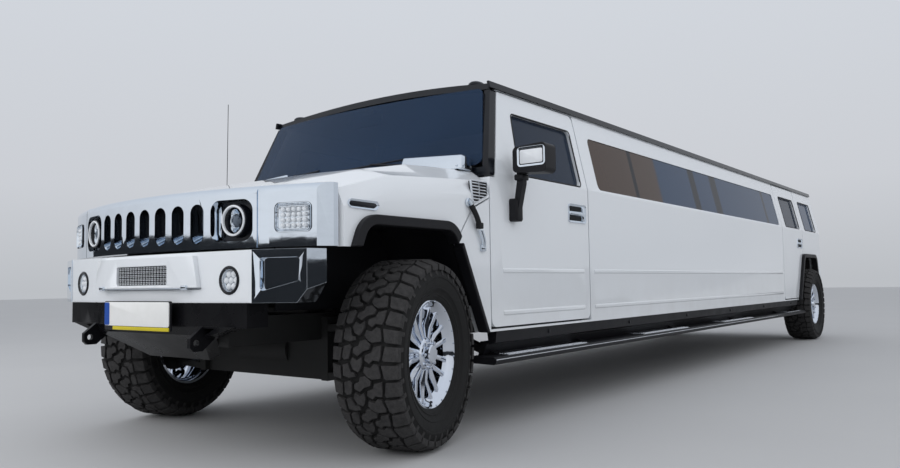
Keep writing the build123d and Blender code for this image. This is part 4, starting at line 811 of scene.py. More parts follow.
wheel = Piece()
wheel.add(wheel_barrel())
wheel.add(spoke(), *around(SPOKES))
wheel.add(turned([(0.01, 40), (72, 40), (76, 46), (76, 88), (70, 96), (56, 100), (48, 100), (44, 118),
                  (38, 123), (0.01, 124)], 48, False))
wheel.add(disc(9, (96, 112), 1.5, 6), *around(SPOKES, 0, Matrix.Translation((62, 0, 0))))
wheel.add(disc(5, (116, 122), 1.0, 8), *around(RIM_STUDS, 0.5, Matrix.Translation((242.5, 0, 0))))
print("wheel faces:", len(wheel.mesh.faces))

# %% [markdown]
# Behind the spokes the brake's disc shows. Then each wheel goes to its body. The front ones stand turned by
# the steering's angle at rest, about a kingpin that lies a little inside the wheel.

# %% Brakes, and the wheels on their bodies
brake = Piece()
brake.add(turned([(70, -8), (168, -8), (170, -6), (170, 8), (168, 10), (70, 10)], 48))
brake.add(turned([(60, -30), (100, -30), (104, -10), (60, -10)], 48))

TRACK_HALF = 922.0
KINGPIN_IN = 45.0
STEER_REST = radians(13)


def wheel_frame(side, axle_y):
    """Matrix from a wheel's own frame, z outwards, to the vehicle's."""
    if axle_y:
        centre = Vector((side * TRACK_HALF, axle_y, TYRE_R))
        out = Vector((side, 0, 0))
    else:
        centre = Vector((side * (TRACK_HALF - KINGPIN_IN + KINGPIN_IN * cos(STEER_REST)),
                         side * KINGPIN_IN * sin(STEER_REST), TYRE_R))
        out = Vector((side * cos(STEER_REST), side * sin(STEER_REST), 0))
    up_axis = Vector((0, 0, 1))
    turn = Matrix((up_axis, out.cross(up_axis).normalized(), out)).transposed()
    return Matrix.Translation(centre) @ turn.to_4x4()


tyre = Piece()
tyre.add(carcass())
for name, side, axle_y in [("front_left", 1, 0), ("front_right", -1, 0), ("rear_left", 1, WHEELBASE),
                           ("rear_right", -1, WHEELBASE)]:
    at = wheel_frame(side, axle_y)
    body = "wheel_" + name
    tyre.done("tyre_carcass_" + name, tyre_rubber, body, 40, ("tyre_" + name,), at)
    tread.done("tyre_tread_" + name, tread_rubber, body, 30, (), at)
    wheel.done(f"wheel_{name}_chrome", wheel_chrome, body, 35, ("rim_" + name,), at)
    brake.done("brake_" + name, underbody_steel, body, 35, (), at)

# %% [markdown]
# The front end. Lamps are drawn about their own axis, or as flat outlines about their own middle, and are
# then set into the curved front. A tray is an outline whose front face is inset and pushed back, which makes
# bezels, frames and shallow pockets.


# %% Helpers for the front
GRILLE_Y, GRILLE_RADIUS = -787.0, 2600.0
BUMPER_BASE_Y, BUMPER_RADIUS = -784.0, 7100.0


def sag(x, radius=GRILLE_RADIUS):
    """How far the front's arc has fallen back at a distance from the middle."""
    return radius - sqrt(radius * radius - x * x)


def front_face(shape):
    """The face of a shape that lies furthest forward."""
    return min(shape.faces, key=lambda item: item.calc_center_median().y)


def tray(low, high, depth, rim, sunk, corner, steps, bevel):
    """Rounded rectangle in front view with a rim round a sunk floor; it faces forwards."""
    shape = outline(rectangle(low, high), "xz", depth, 0, corner, steps)
    face = front_face(shape)
    bmesh.ops.inset_region(shape, faces=[face], thickness=rim, depth=0, use_even_offset=True)
    bmesh.ops.translate(shape, vec=(0, sunk, 0), verts=face.verts)
    bmesh.ops.recalc_face_normals(shape, faces=shape.faces)
    soften(shape, bevel, 2, 40)
    return shape


def on_arc(x, z, front, radius):
    """Matrix that stands a shape on one of the front's arcs, facing outwards."""
    return Matrix.Translation((x, front + sag(x, radius), z)) @ Matrix.Rotation(asin(x / radius), 4, "Z")


# %% [markdown]
# The grille is a chrome shell with seven tall slots, and each slot is lined: its wall runs inwards from the
# shell's face and its foot slopes up, so the slot shows chrome before it shows the dark behind it. A lining
# is an outline whose front is inset and pushed back, and then both ends are opened.

# %% Grille
behind = Piece()
behind.add(slab((-432, 432), (-683, -676), (944, 1128)))
behind.done("grille_backing", mesh_black, "root")
SLOTS, SLOT_STEP = 7, 122.0
linings = Piece()
for place in range(SLOTS):
    x = (place - (SLOTS - 1) / 2) * SLOT_STEP
    y = GRILLE_Y + sag(x)
    cup = outline(rectangle((x - 38.5, 951), (x + 38.5, 1123)), "xz", (y + 4, y + 62), 0, 38.0, 8)
    front = front_face(cup)
    bmesh.ops.inset_region(cup, faces=[front], thickness=2.6, depth=0, use_even_offset=True)
    inner = front.verts[:]
    bmesh.ops.translate(cup, vec=(0, 52, 0), verts=inner)
    for vert in inner:
        if vert.co.z < 1000:
            vert.co.z += 26
    bmesh.ops.delete(cup, geom=[front], context="FACES_ONLY")
    back = max(cup.faces, key=lambda item: item.calc_center_median().y)
    bmesh.ops.delete(cup, geom=[back], context="FACES_ONLY")
    linings.add(cup)
linings.done("grille_slot_linings", chrome, "root", 40)

# %% [markdown]
# A headlamp is a dark bowl with two small reflectors, a projector in a chrome collar, a white ring round them
# and a chrome blade beside it. All of it is drawn about the lamp's own axis and stands a little turned
# outwards.

# %% Headlamps
LAMP_X = 556.0
lamp_dark = Piece()
lamp_chrome = Piece()
lamp_halo = Piece()
lamp_lens = Piece()
for side in (1, -1):
    middle = Matrix.Translation((LAMP_X * side, GRILLE_Y + sag(LAMP_X), 1044))
    at = middle @ Matrix.Rotation(radians(7 * side), 4, "Z")
    centre = at @ Matrix.Translation((10 * side, 0, 0))
    eye = centre @ FACING_FRONT
    lamp_dark.add(outline(rectangle((-109, -87), (109, 87)), "xz", (46, 56), 1.0, 48.0, 8), at)
    lamp_dark.add(turned([(60, -46), (60, -8), (64, -5), (72, -7), (73, -46)], 48), eye)
    lamp_dark.add(turned([(59.5, -9), (56, -12), (50, -30), (44, -45), (0.01, -46)], 48, False), eye)
    for lift in (-26, 26):
        cup = centre @ Matrix.Translation((0, 0, lift)) @ FACING_FRONT
        lamp_chrome.add(turned([(24, -16), (20, -22), (12, -36), (0.01, -40)], 28, False), cup)
    lamp_chrome.add(turned([(31, -44), (35, -26), (32, -20), (29, -22), (27, -44)], 40), eye)
    lamp_halo.add(turned([(56.5, -10), (57.5, -2), (61, 1), (66, -1), (67, -8), (62, -10)], 56), eye)
    lamp_lens.add(turned([(0.01, -12), (12, -14), (22, -21), (28.5, -32)], 32, False), eye)
    blade = [(-100, -56), (-84, -70), (-76, 0), (-84, 70), (-100, 54)]
    lamp_chrome.add(outline([(x * side, z) for x, z in blade], "xz", (26, 46), 4.0), at)
lamp_dark.done("headlamp_bowls", gloss_black, "root", 40, ("front_lamps",))
lamp_chrome.done("headlamp_reflectors", chrome, "root", 40, ("front_lamps",))
lamp_halo.done("headlamp_rings", white_lens, "root", 40, ("front_lamps",))
lamp_lens.done("headlamp_projectors", projector_glass, "root", 40, ("front_lamps",))

# %% [markdown]
# Beyond each headlamp is a flat turn lamp: a chrome tray in a dark rubber rim, which is painted shade for the
# thin shadow line round the lamp, with twenty small domes that spread the light, under a clear cover.

# %% Turn lamps
DOMES_UP, DOMES_ACROSS = 4, 5
turn_frame = Piece()
turn_shadow_rim = Piece()
turn_cells = Piece()
turn_cover = Piece()
for side in (1, -1):
    at = on_arc(853.0 * side, 1046.0, GRILLE_Y, GRILLE_RADIUS)
    turn_frame.add(tray((-80, -57), (80, 57), (-8, 22), 7.0, 20.0, 20.0, 6, 1.5), at)
    # Dark rim round the tray: painted shade for the thin shadow line round the lamp
    turn_shadow_rim.add(tray((-85, -62), (85, 62), (-4, 20), 4.0, 20.0, 24.0, 6, 1.0), at)
    for row in range(DOMES_UP):
        for column in range(DOMES_ACROSS):
            spot = Matrix.Translation(((column - 2) * 25.0, 6, (row - 1.5) * 22.0)) @ FACING_FRONT
            dome = turned([(9.5, 0), (9.5, 3), (7.5, 7.5), (4, 9.5), (0.01, 10)], 12, False)
            turn_cells.add(dome, at @ spot)
    turn_cover.add(outline(rectangle((-72, -49), (72, 49)), "xz", (-4.5, -2.5), 0.5, 14.0, 5), at)
turn_frame.done("turn_lamp_frames", chrome, "root", 40)
turn_shadow_rim.done("turn_lamp_shadow_rims", seal_rubber, "root", 40)
turn_cells.done("turn_lamp_cells", white_lens, "root", 40)
turn_cover.done("turn_lamp_covers", clear_lens, "root", 40)

# %% [markdown]
# The bumper has an opening with a perforated plate in it. A grid is inset cell by cell, the corners of the
# cells are bevelled round, the cells are deleted, and what is left is extruded to a plate with holes.

# %% Perforated plate of the bumper
PLATE_CELLS = (18, 5)
mesh_plate = bmesh.new()
bmesh.ops.create_grid(mesh_plate, x_segments=PLATE_CELLS[0], y_segments=PLATE_CELLS[1], size=0.5)
bmesh.ops.scale(mesh_plate, vec=(398, 84, 1), verts=mesh_plate.verts)
cells = mesh_plate.faces[:]
bmesh.ops.inset_individual(mesh_plate, faces=cells, thickness=4.3, depth=0, use_even_offset=True)
corners = [vert for face in cells for vert in face.verts]
bmesh.ops.bevel(mesh_plate, geom=corners, offset=3.6, offset_type="OFFSET", segments=2, profile=0.5,
                affect="VERTICES", clamp_overlap=True, material=-1)
holes = [face for face in mesh_plate.faces if len(face.verts) >= 7]
print("holes in the bumper plate:", len(holes))
bmesh.ops.delete(mesh_plate, geom=holes, context="FACES")
made = bmesh.ops.extrude_face_region(mesh_plate, geom=mesh_plate.faces[:])["geom"]
lifted = [item for item in made if isinstance(item, bmesh.types.BMVert)]
bmesh.ops.translate(mesh_plate, vec=(0, 0, 3), verts=lifted)
bmesh.ops.recalc_face_normals(mesh_plate, faces=mesh_plate.faces)
perforated = Piece()
perforated.add(mesh_plate, Matrix.Translation((0, -797.5, 818)) @ FACING_FRONT)
perforated.done("bumper_mesh", white_paint, "root", 40)
dark_behind = Piece()
dark_behind.add(outline(rectangle((-203, 776), (203, 860)), "xz", (-791, -788.5), 0, 8.0))
dark_behind.done("bumper_mesh_backing", mesh_black, "root", 40)

slot_trim = Piece()
slot_trim.add(slab((-330, 330), (-806.5, -795), (755.5, 760.5), 1.0))
for ends in ((318, 352), (-352, -318)):
    slot_trim.add(slab(ends, (-809, -796), (752, 772), 2.0))
slot_trim.done("bumper_slot_trim", chrome, "root")

# %% [markdown]
# A fog lamp is round: a black ring, a chrome bowl, seven cells and a domed cover, all spun about its axis.

# %% Fog lamps
fog_ring = Piece()
fog_bowl = Piece()
fog_cells = Piece()
fog_cover = Piece()
for side in (1, -1):
    at = on_arc(590.0 * side, 790.0, BUMPER_BASE_Y, BUMPER_RADIUS)
    turn = at @ FACING_FRONT
    ring = [(49, -6), (48, 3), (51, 6), (57, 5), (61, 1), (61, -1), (57.6, -1), (57.6, -8)]
    fog_ring.add(turned(ring, 48), turn)
    fog_bowl.add(turned([(50, -2), (46, -14), (0.01, -15)], 40, False), turn)
    for place in range(7):
        reach = 0 if place == 6 else 29
        spot = Matrix.Translation((reach * cos(place * pi / 3), reach * sin(place * pi / 3), -14))
        fog_cells.add(turned([(13, 0), (13, 4), (9.5, 8), (5, 10), (0.01, 10.6)], 16, False), turn @ spot)
    fog_cover.add(turned([(49, 0), (40, 2.5), (20, 4), (0.01, 4.4)], 40, False), turn)
fog_ring.done("fog_lamp_rings", gloss_black, "root", 40)
fog_bowl.done("fog_lamp_bowls", chrome, "root", 40)
fog_cells.done("fog_lamp_cells", white_lens, "root", 40)
fog_cover.done("fog_lamp_covers", clear_lens, "root", 40)

# %% [markdown]
# The plate is a blank pressed sheet with a blue band at one end, in a black holder with a yellow strip below.

# %% Plate
PLATE_Y = -828.0
plate = Piece()
plate.add(outline(rectangle((-262, 590), (262, 700)), "xz", (PLATE_Y, PLATE_Y + 5), 0.8, 10.0))
plate.done("blank_plate", plate_white, "root", 40)
plate_holder = Piece()
plate_holder.add(outline(rectangle((-268, 570), (268, 704)), "xz", (PLATE_Y + 4, PLATE_Y + 14), 1.5, 8.0))
plate_holder.add(slab((-200, 200), (PLATE_Y + 13, -788), (600, 680), 1.0))
plate_holder.done("plate_holder", black_plastic, "root")
plate_band = Piece()
plate_band.add(outline(rectangle((-260, 592), (-218, 698)), "xz", (PLATE_Y - 0.8, PLATE_Y + 1), 0, 8.0))
plate_band.done("plate_blue_band", plate_blue, "root", 40)
plate_strip = Piece()
plate_strip.add(slab((-190, 262), (PLATE_Y - 0.4, PLATE_Y + 4.5), (572, 588), 1.0))
plate_strip.done("plate_yellow_strip", plate_yellow, "root")

# %% [markdown]
# The hood and the sides. Trim that sits on a moving panel rides that panel's body: the latch straps, the side
# markers and the vents go up with the hood, and handles and mirrors swing with their doors. The vent is a
# chrome border with seven slats and a post, over a dark backing.


# %% Hood side vents
def outer_face(shape):
    """The face of a shape that lies furthest out on the left."""
    return max(shape.faces, key=lambda item: item.calc_center_median().x)


VENT = [(408, 1292), (425, 1182), (441, 1168), (556, 1216), (556, 1292)]
VENT_BACKING = [(413, 1288), (430, 1186), (443, 1174), (552, 1220), (552, 1288)]
SLATS, SLAT_STEP = 7, 16.0
vent_dark = Piece()
vent_dark.add(outline(VENT_BACKING, "yz", (986, 1001), 0, 4.0, 2))
vent_dark.both("vent_backing", mesh_black, HOOD_SIDES, 40)
vent_slats = Piece()
border = outline(VENT, "yz", (996, 1006), 0, 6.0, 3)
face = outer_face(border)
bmesh.ops.inset_region(border, faces=[face], thickness=5.0, depth=0, use_even_offset=True)
bmesh.ops.delete(border, geom=[face], context="FACES_ONLY")
back = min(border.faces, key=lambda item: item.calc_center_median().x)
bmesh.ops.delete(border, geom=[back], context="FACES_ONLY")
vent_slats.add(border)
for row in range(SLATS):
    z = 1276 - row * SLAT_STEP
    front = 411 + (1292 - z) * 0.13
    rear = 554 if z > 1222 else 554 - (1222 - z) * 2.3
    vent_slats.add(slab((998, 1008), (front, rear), (z - 3.6, z + 3.6), 1.4))
vent_slats.add(slab((998, 1006), (478, 486), (1190, 1288), 1.5))
vent_slats.both("vent_slats", vent_chrome, HOOD_SIDES, 40)

# %% [markdown]
# The side marker ahead of the wheel is a long chrome frame, sunk in the middle, with a dark lens in it.

# %% Side markers
MARKER = [(-474, 1106), (-462, 1088), (-302, 1084), (-282, 1104), (-294, 1124), (-462, 1126)]
MARKER_LENS = [(-458, 1106), (-448, 1097), (-312, 1094), (-298, 1105), (-308, 1115), (-450, 1117)]
marker_frame = outline(MARKER, "yz", (996, 1007), 0, 8.0, 4)
face = outer_face(marker_frame)
bmesh.ops.inset_region(marker_frame, faces=[face], thickness=7.0, depth=0, use_even_offset=True)
bmesh.ops.translate(marker_frame, vec=(-5, 0, 0), verts=face.verts)
soften(marker_frame, 0.8, 2, 40)
marker = Piece()
marker.add(marker_frame)
marker.both("side_marker_frame", chrome, HOOD_SIDES, 40)
marker_lens = Piece()
marker_lens.add(outline(MARKER_LENS, "yz", (1000, 1005), 0.8, 4.0, 3))
marker_lens.both("side_marker_lens", gloss_black, HOOD_SIDES, 40)

# %% [markdown]
# A rubber strap on each side holds the hood down. Its eye and the strap go up with the hood, and the hook
# that it is pulled over stays on the body.

# %% Hood latches
latch_chrome = Piece()
eye_place = Matrix.Translation((1006, 386, 1172)) @ FACING_LEFT
latch_chrome.add(turned([(10, -4), (10, 4), (14, 7), (20, 7), (23, 4), (23, -4)], 28), eye_place)
latch_chrome.add(disc(10, (-6, 8), 1.5, 20), eye_place)
latch_chrome.add(pipe([(1014, 378, 1180), (1020, 392, 1162), (1018, 404, 1144)], 7, 8))
latch_chrome.both("hood_latch_eye", chrome, HOOD_SIDES, 40)
strap = Piece()
strap.add(pipe([(1014, 396, 1158), (1022, 420, 1120), (1024, 444, 1078), (1020, 458, 1052)], 14, 8))
strap.add(slab((1008, 1034), (440, 478), (1040, 1072), 5))
strap.both("hood_latch_strap", seal_rubber, HOOD_SIDES, 40)
hook = Piece()
hook.add(pipe([(1012, 470, 1034), (1016, 484, 1004), (1014, 500, 968), (1008, 508, 950)], 9, 8))
hook.add(pipe([(1022, 478, 1034), (1024, 492, 1002), (1020, 508, 966), (1008, 514, 948)], 7, 8))
hook.add(slab((1000, 1014), (488, 528), (926, 962), 4))
hook.both("hood_latch_hook", chrome, BOTH_ROOT, 40)

# %% [markdown]
# A chrome cover lies on the cowl at each side of the windscreen's foot. It is a plan outline whose upper
# face leans in, and it is higher towards the middle, where the hood is.

# %% Cowl covers
cowl = Piece()
cover = outline([(462, 464), (905, 464), (905, 574), (462, 522)], "xy", (1362, 1448), 0)
for vert in cover.verts:
    if vert.co.z > 1400:
        vert.co.x += 22 if vert.co.x < 500 else -14
        vert.co.y += 26 if vert.co.y < 500 else -4
        vert.co.z += 20 if vert.co.x < 500 else -4
soften(cover, 10.0, 3, 30)
cowl.add(cover)
for x in (492, 680, 872):
    cowl.add(disc(6, (-2, 4), 1.0, 12), Matrix.Translation((x, 469, 1384)) @ FACING_FRONT)
cowl.both("cowl_cover", chrome, BOTH_ROOT, 40)

# %% [markdown]
# The wipers lie on the windscreen, so their points come from a function of the pane: it is curved across and
# leans back by 183 mm in its 460 mm of height. The antenna stands on the right of the hood.

# %% Wipers and antenna
SCREEN_FOOT = (508.0, 1395.0)
SCREEN_LEAN = 183 / 460
SCREEN_RADIUS = 5000.0


def on_screen(x, z, out=12.0):
    """Point a little in front of the windscreen."""
    return Vector((x, SCREEN_FOOT[0] + sag(x, SCREEN_RADIUS) + (z - SCREEN_FOOT[1]) * SCREEN_LEAN - out, z))


wipers = Piece()
for foot_x in (640, -40):
    low, high = on_screen(foot_x, 1404, 20), on_screen(foot_x - 430, 1462, 20)
    blade = [on_screen(foot_x - 650, 1446), high + Vector((0, 8, -4)), on_screen(foot_x - 190, 1470)]
    wipers.add(pipe([low, (low + high) / 2 + Vector((0, -8, 4)), high], 6, 8, False))
    wipers.add(pipe(blade, 5, 8, False))
    wipers.add(disc(14, (-4, 12), 2, 16), Matrix.Translation(low) @ FACING_FRONT)
wipers.done("wipers", black_plastic, "root", 40)

antenna = Piece()
antenna.add(pipe([(-838, 300, 1330), (-836, 300, 1420), (-826, 300, 1936)], 2.2, 6, False))
antenna.add(turned([(0.01, 0), (16, 0), (14, 10), (7, 24), (5, 34), (0.01, 36)], 20, False),
            Matrix.Translation((-838, 300, 1318)))
antenna.done("antenna", gloss_black, "hood", 40)

# %% [markdown]
# Each door mirror has a chrome tray on the face that looks ahead, with a white inset, a glass on the face
# that looks back, and two joints to the door.

# %% Door mirrors
MIRROR_Y = 806.0
MIRROR_FRONT = (MIRROR_Y - 54.5, MIRROR_Y - 49)
MIRROR_BACK = (MIRROR_Y + 52, MIRROR_Y + 56)
mirror_trim = Piece()
mirror_trim.add(tray((1070, 1384), (1243, 1492), (MIRROR_Y - 56, MIRROR_Y - 48), 14.0, 5.0, 20.0, 5, 2.5))
mirror_trim.both("mirror_frame", chrome, FRONT_DOORS, 40)
mirror_inset = Piece()
mirror_inset.add(outline(rectangle((1086, 1400), (1227, 1476)), "xz", MIRROR_FRONT, 2.5, 10.0))
mirror_inset.both("mirror_inset", white_lens, FRONT_DOORS, 40)
mirror_glass = Piece()
mirror_glass.add(outline(rectangle((1066, 1374), (1220, 1480)), "xz", MIRROR_BACK, 1.0, 14.0))
mirror_glass.both("mirror_glass", chrome, FRONT_DOORS, 40)
mirror_joint = Piece()
mirror_joint.add(slab((1034, 1092), (MIRROR_Y - 34, MIRROR_Y + 34), (1318, 1352), 9, 3))
mirror_joint.add(slab((1002, 1052), (MIRROR_Y - 30, MIRROR_Y + 30), (1100, 1216), 9, 3))
mirror_joint.both("mirror_joint", black_plastic, FRONT_DOORS, 40)


# %% [markdown]
# A door handle is a chrome tray with a grip across it and a lock at its rear end. Above and below the grip
# the tray is dark, where the fingers go in. It is drawn facing forwards and turned to the door.

# %% Door handles
HANDLE_Z = 1188.0
for name, doors, y in (("front_handle", FRONT_DOORS, 1560), ("rear_handle", REAR_DOORS, 7340)):
    turn = Matrix.Translation((1000, y, HANDLE_Z)) @ Matrix.Rotation(radians(90), 4, "Z")
    handle = Piece()
    handle.add(tray((-112, -58), (112, 58), (-9, 2), 12.0, 7.0, 16.0, 5, 2.0), turn)
    handle.add(slab((-100, 100), (-10, 0), (-12, 12), 5, 3), turn)
    handle.add(slab((56, 84), (-12, 0), (-46, 46), 4), turn)
    handle.both(name, chrome, doors, 40)
    hollows = Piece()
    for low, high in ((14, 44), (-44, -14)):
        hollows.add(outline(rectangle((-96, low), (52, high)), "xz", (-4, -1), 0, 8.0), turn)
    hollows.both(name + "_hollow", mesh_black, doors, 40)

# %% [markdown]
# The long side. A dark panel closes the gap between the rocker cover and the step board: it is painted shade,
# a dark sheet where the shadow under the body falls. Ribbed treads lie on the board beside each door, and
# small caps cover the fixings of the rocker.

# %% Step boards and rockers
# Dark sheet under the rocker: painted shade of the gap under the body
gap_shade = Piece()
gap_shade.add(outline([(884, 452), (930, 446), (900, 374), (870, 374)], "xz", (640, 7150), 2.0))
gap_shade.both("board_gap_shade", black_plastic, BOTH_ROOT)
treads = Piece()
for low, high in ((700, 1620), (2500, 3400), (4300, 5200), (6560, 7240)):
    treads.add(outline(rectangle((880, low), (1030, high)), "xy", (379.5, 383), 1.0, 12.0))
    for row in range(9):
        x = 892 + row * 15.5
        treads.add(slab((x, x + 7), (low + 14, high - 14), (382, 386), 1.2, 1))
treads.both("board_treads", rear_chrome, BOTH_ROOT)
caps = Piece()
for place in range(6):
    caps.add(disc(13, (-3, 5), 2.0, 20), Matrix.Translation((988, 1200 + place * 1130, 478)) @ FACING_LEFT)
caps.both("rocker_caps", black_plastic, BOTH_ROOT, 40)
edge_strip = Piece()
edge_strip.add(slab((1046, 1053), (545, 7255), (366, 371), 1.2))
edge_strip.both("board_edge", rear_chrome, BOTH_ROOT)

# %% [markdown]
# Two low dark markers stand on the roof's front corners. Each is a dome spun about its axis and stretched.

# %% Roof markers
markers = Piece()
for side in (1, -1):
    dome = turned([(0.01, 0), (44, 0), (42, 10), (32, 21), (18, 27), (0.01, 28)], 32, False)
    markers.add(dome, Matrix.Translation((side * 742, 858, 1903)) @ Matrix.Scale(1.5, 4, (0, 1, 0)))
markers.done("roof_markers", gloss_black, "root", 40)

# %% [markdown]
# A rubber bead frames each side window that has an edge of its own. The body side leans in above its waist,
# so the bead is drawn in side view, with rounded corners, and each of its points is set out to the wall.

# %% Window beads
WAIST_X, WAIST_Z = 1000.0, 1350.0
WALL_LEAN = 120.0 / 535.0


def wall_x(z):
    """Distance of the body side from the middle at a height."""
    return min(WAIST_X, WAIST_X - (z - WAIST_Z) * WALL_LEAN)


def bead(corners, radius=5.0, sunk=1.0, corner=26.0):
    """Rubber bead round a side window, from its corners (y, z) in side view."""
    flat = bmesh.new()
    flat.faces.new([flat.verts.new((0, y, z)) for y, z in corners])
    bmesh.ops.bevel(flat, geom=list(flat.verts), offset=corner, offset_type="OFFSET", segments=5, profile=0.5,
                    affect="VERTICES", clamp_overlap=True, material=-1)
    loop = flat.faces[:][0].verts
    points = [(wall_x(vert.co.z) - sunk, vert.co.y, vert.co.z) for vert in loop]
    flat.free()
    return pipe(points, radius, 6, False, True)


for name, bodies, corners in [
    ("front_window_seal", FRONT_DOORS, [(889, 1363), (1634, 1363), (1634, 1731), (935, 1731)]),
    ("rear_window_seal", REAR_DOORS, [(6730, 1366), (7380, 1366), (7380, 1722), (6730, 1722)]),
    ("quarter_window_seal", BOTH_ROOT, [(7657, 1363), (8253, 1363), (8253, 1725), (7657, 1725)]),
]:
    window_bead = Piece()
    window_bead.add(bead(corners))
    window_bead.both(name, seal_rubber, bodies, 40)

# %% [markdown]
# The rear. A tail lamp is a chrome tray with two red lenses and a clear one between them. The tailgate has a
# recess with a blank plate, and a handle above it.

# %% Tail lamps, tailgate handle and rear plate
REAR_Y = 8440.0
for_rear = Matrix.Rotation(radians(180), 4, "Z")
tail_frame = Piece()
tail_red = Piece()
tail_clear = Piece()
for side in (1, -1):
    at = Matrix.Translation((side * 922.5, REAR_Y + 20, 1050)) @ for_rear
    tail_frame.add(tray((-36, -149), (36, 149), (-4, 18), 5.0, 5.0, 8.0, 4, 1.2), at)
    for low, high, piece in ((28, 138, tail_red), (-54, 18, tail_clear), (-138, -64, tail_red)):
        piece.add(outline(rectangle((-29, low), (29, high)), "xz", (-5, 1), 2.0, 6.0), at)
tail_frame.done("tail_lamp_frames", rear_chrome, "root", 40, ("tail_lamps",))
tail_red.done("tail_lamp_red", tail_glass, "root", 40, ("tail_lamps",))
tail_clear.done("tail_lamp_clear", white_lens, "root", 40, ("tail_lamps",))
gate = Piece()
gate.add(tray((-300, 905), (300, 1075), (-4, 4), 10.0, 6.0, 14.0, 4, 1.5),
         Matrix.Translation((0, REAR_Y + 2, 0)) @ for_rear)
gate.add(slab((-150, 150), (REAR_Y - 1, REAR_Y + 22), (1096, 1122), 6, 3))
gate.done("tailgate_handle", rear_chrome, "tailgate", 40)
rear_plate = Piece()
rear_plate.add(outline(rectangle((-260, 934), (260, 1044)), "xz", (REAR_Y + 1, REAR_Y + 5), 0.8, 10.0))
rear_plate.done("rear_blank_plate", plate_white, "tailgate", 40)

# %% [markdown]
# Seats. A cushion is a box with rounded edges, cut into cells. Then each of its points moves: the middle of
# a face swells, and the sides pull in between the corners.


# %% Cushions
def cushion(x, y, z, crown=22.0, cell=60.0, pinch=10.0):
    """Crowned pad between pairs of limits."""
    low = Vector((x[0], y[0], z[0]))
    size = Vector((x[1], y[1], z[1])) - low
    shape = bmesh.new()
    bmesh.ops.create_cube(shape, size=1)
    bmesh.ops.translate(shape, vec=(0.5, 0.5, 0.5), verts=shape.verts)
    bmesh.ops.scale(shape, vec=size, verts=shape.verts)
    bmesh.ops.bevel(shape, geom=shape.edges[:], offset=min(size) * 0.22, offset_type="OFFSET", segments=2,
                    profile=0.5, affect="EDGES", clamp_overlap=True, material=-1)
    for axis in range(3):
        count = max(1, int(size[axis] / cell))
        for step in range(1, count):
            place, normal = Vector(), Vector()
            place[axis] = size[axis] * step / count
            normal[axis] = 1
            everything = shape.verts[:] + shape.edges[:] + shape.faces[:]
            bmesh.ops.bisect_plane(shape, geom=everything, plane_co=place, plane_no=normal)
    for vert in shape.verts:
        share = [max(-1.0, min(1.0, 2 * vert.co[axis] / size[axis] - 1)) for axis in range(3)]
        for axis in range(3):
            across = 1.0
            for other in range(3):
                if other != axis:
                    across *= 1 - share[other] ** 2
            vert.co[axis] += share[axis] * (crown * across - pinch * (1 - across) * (1 - abs(share[axis])))
    bmesh.ops.translate(shape, vec=low, verts=shape.verts)
    return shape


def pads(name, finish, shapes, node):
    """Pads that stand for a node of seats."""
    piece = Piece()
    for shape in shapes:
        piece.add(shape)
    made = piece.done(name, finish, "root", 60, (node,))


# %% [markdown]
# The cab has two seats, each with a seat pad, a back that leans and a headrest on two posts.

# %% Cab seats
SEAT_X = 545
BACK_LEAN = Matrix.Rotation(radians(-9), 3, "X")
cab_pads = []
for side in (1, -1):
    middle = side * SEAT_X
    cab_pads.append(cushion((middle - 235, middle + 235), (1085, 1545), (770, 890)))
    back = cushion((middle - 225, middle + 225), (1505, 1615), (840, 1400), 26)
    bmesh.ops.rotate(back, verts=back.verts, cent=(middle, 1560, 850), matrix=BACK_LEAN)
    cab_pads.append(back)
    cab_pads.append(cushion((middle - 125, middle + 125), (1600, 1690), (1425, 1580), 14))
pads("cab_seat_pads", cab_leather, cab_pads, "front_seats")
seat_base = Piece()
for side in (1, -1):
    middle = side * SEAT_X
    seat_base.add(slab((middle - 180, middle + 180), (1125, 1495), (662, 768), 8))
    for offset in (-60, 60):
        seat_base.add(pipe([(middle + offset, 1640, 1380), (middle + offset, 1645, 1460)], 7, 8, False))
seat_base.done("cab_seat_bases", cab_plastic, "root", 40, ("front_seats",))

# %% [markdown]
# The saloon has a long bench on the right and a short one across the rear, each a row of seat and back pads
# with a narrow gap between them, on a plain base.

# %% Saloon benches
LONG_BENCH, SHORT_BENCH = 8, 2
bench = []
for place in range(LONG_BENCH):
    low = 2304 + place * 574.0
    bench.append(cushion((-896, -392), (low, low + 570), (880, 998), 18, 80))
    bench.append(cushion((-896, -784), (low, low + 570), (1000, 1310), 18, 80))
for place in range(SHORT_BENCH):
    low = -636 + place * 638.0
    bench.append(cushion((low, low + 634), (7844, 8336), (880, 998), 18, 80))
    bench.append(cushion((low, low + 634), (8224, 8336), (1000, 1310), 18, 80))
pads("saloon_pads", saloon_leather, bench, "lounge_seats")
bench_base = Piece()
bench_base.add(slab((-896, -410), (2304, 6896), (662, 882), 6))
bench_base.add(slab((-636, 636), (7860, 8336), (662, 882), 6))
bench_base.done("saloon_bases", saloon_panel, "root", 40, ("lounge_seats",))

# %% [markdown]
# The mirror in the cab hangs from the roof's front edge, behind the windscreen.

# %% Cab mirror
inner_mirror = Piece()
inner_mirror.add(outline(rectangle((-130, 1742), (130, 1812)), "xz", (700, 722), 4.0, 22.0))
inner_mirror.add(pipe([(0, 722, 1790), (0, 752, 1820), (0, 778, 1858)], 8, 8, False))
inner_mirror.done("cab_mirror", cab_plastic, "root", 40)

# %% [markdown]
# The camera stands low beside the front corner, where the photograph was taken. Its place, its three angles
# and its focal length in pixels were fitted to the straight lines and wheels of the photograph.

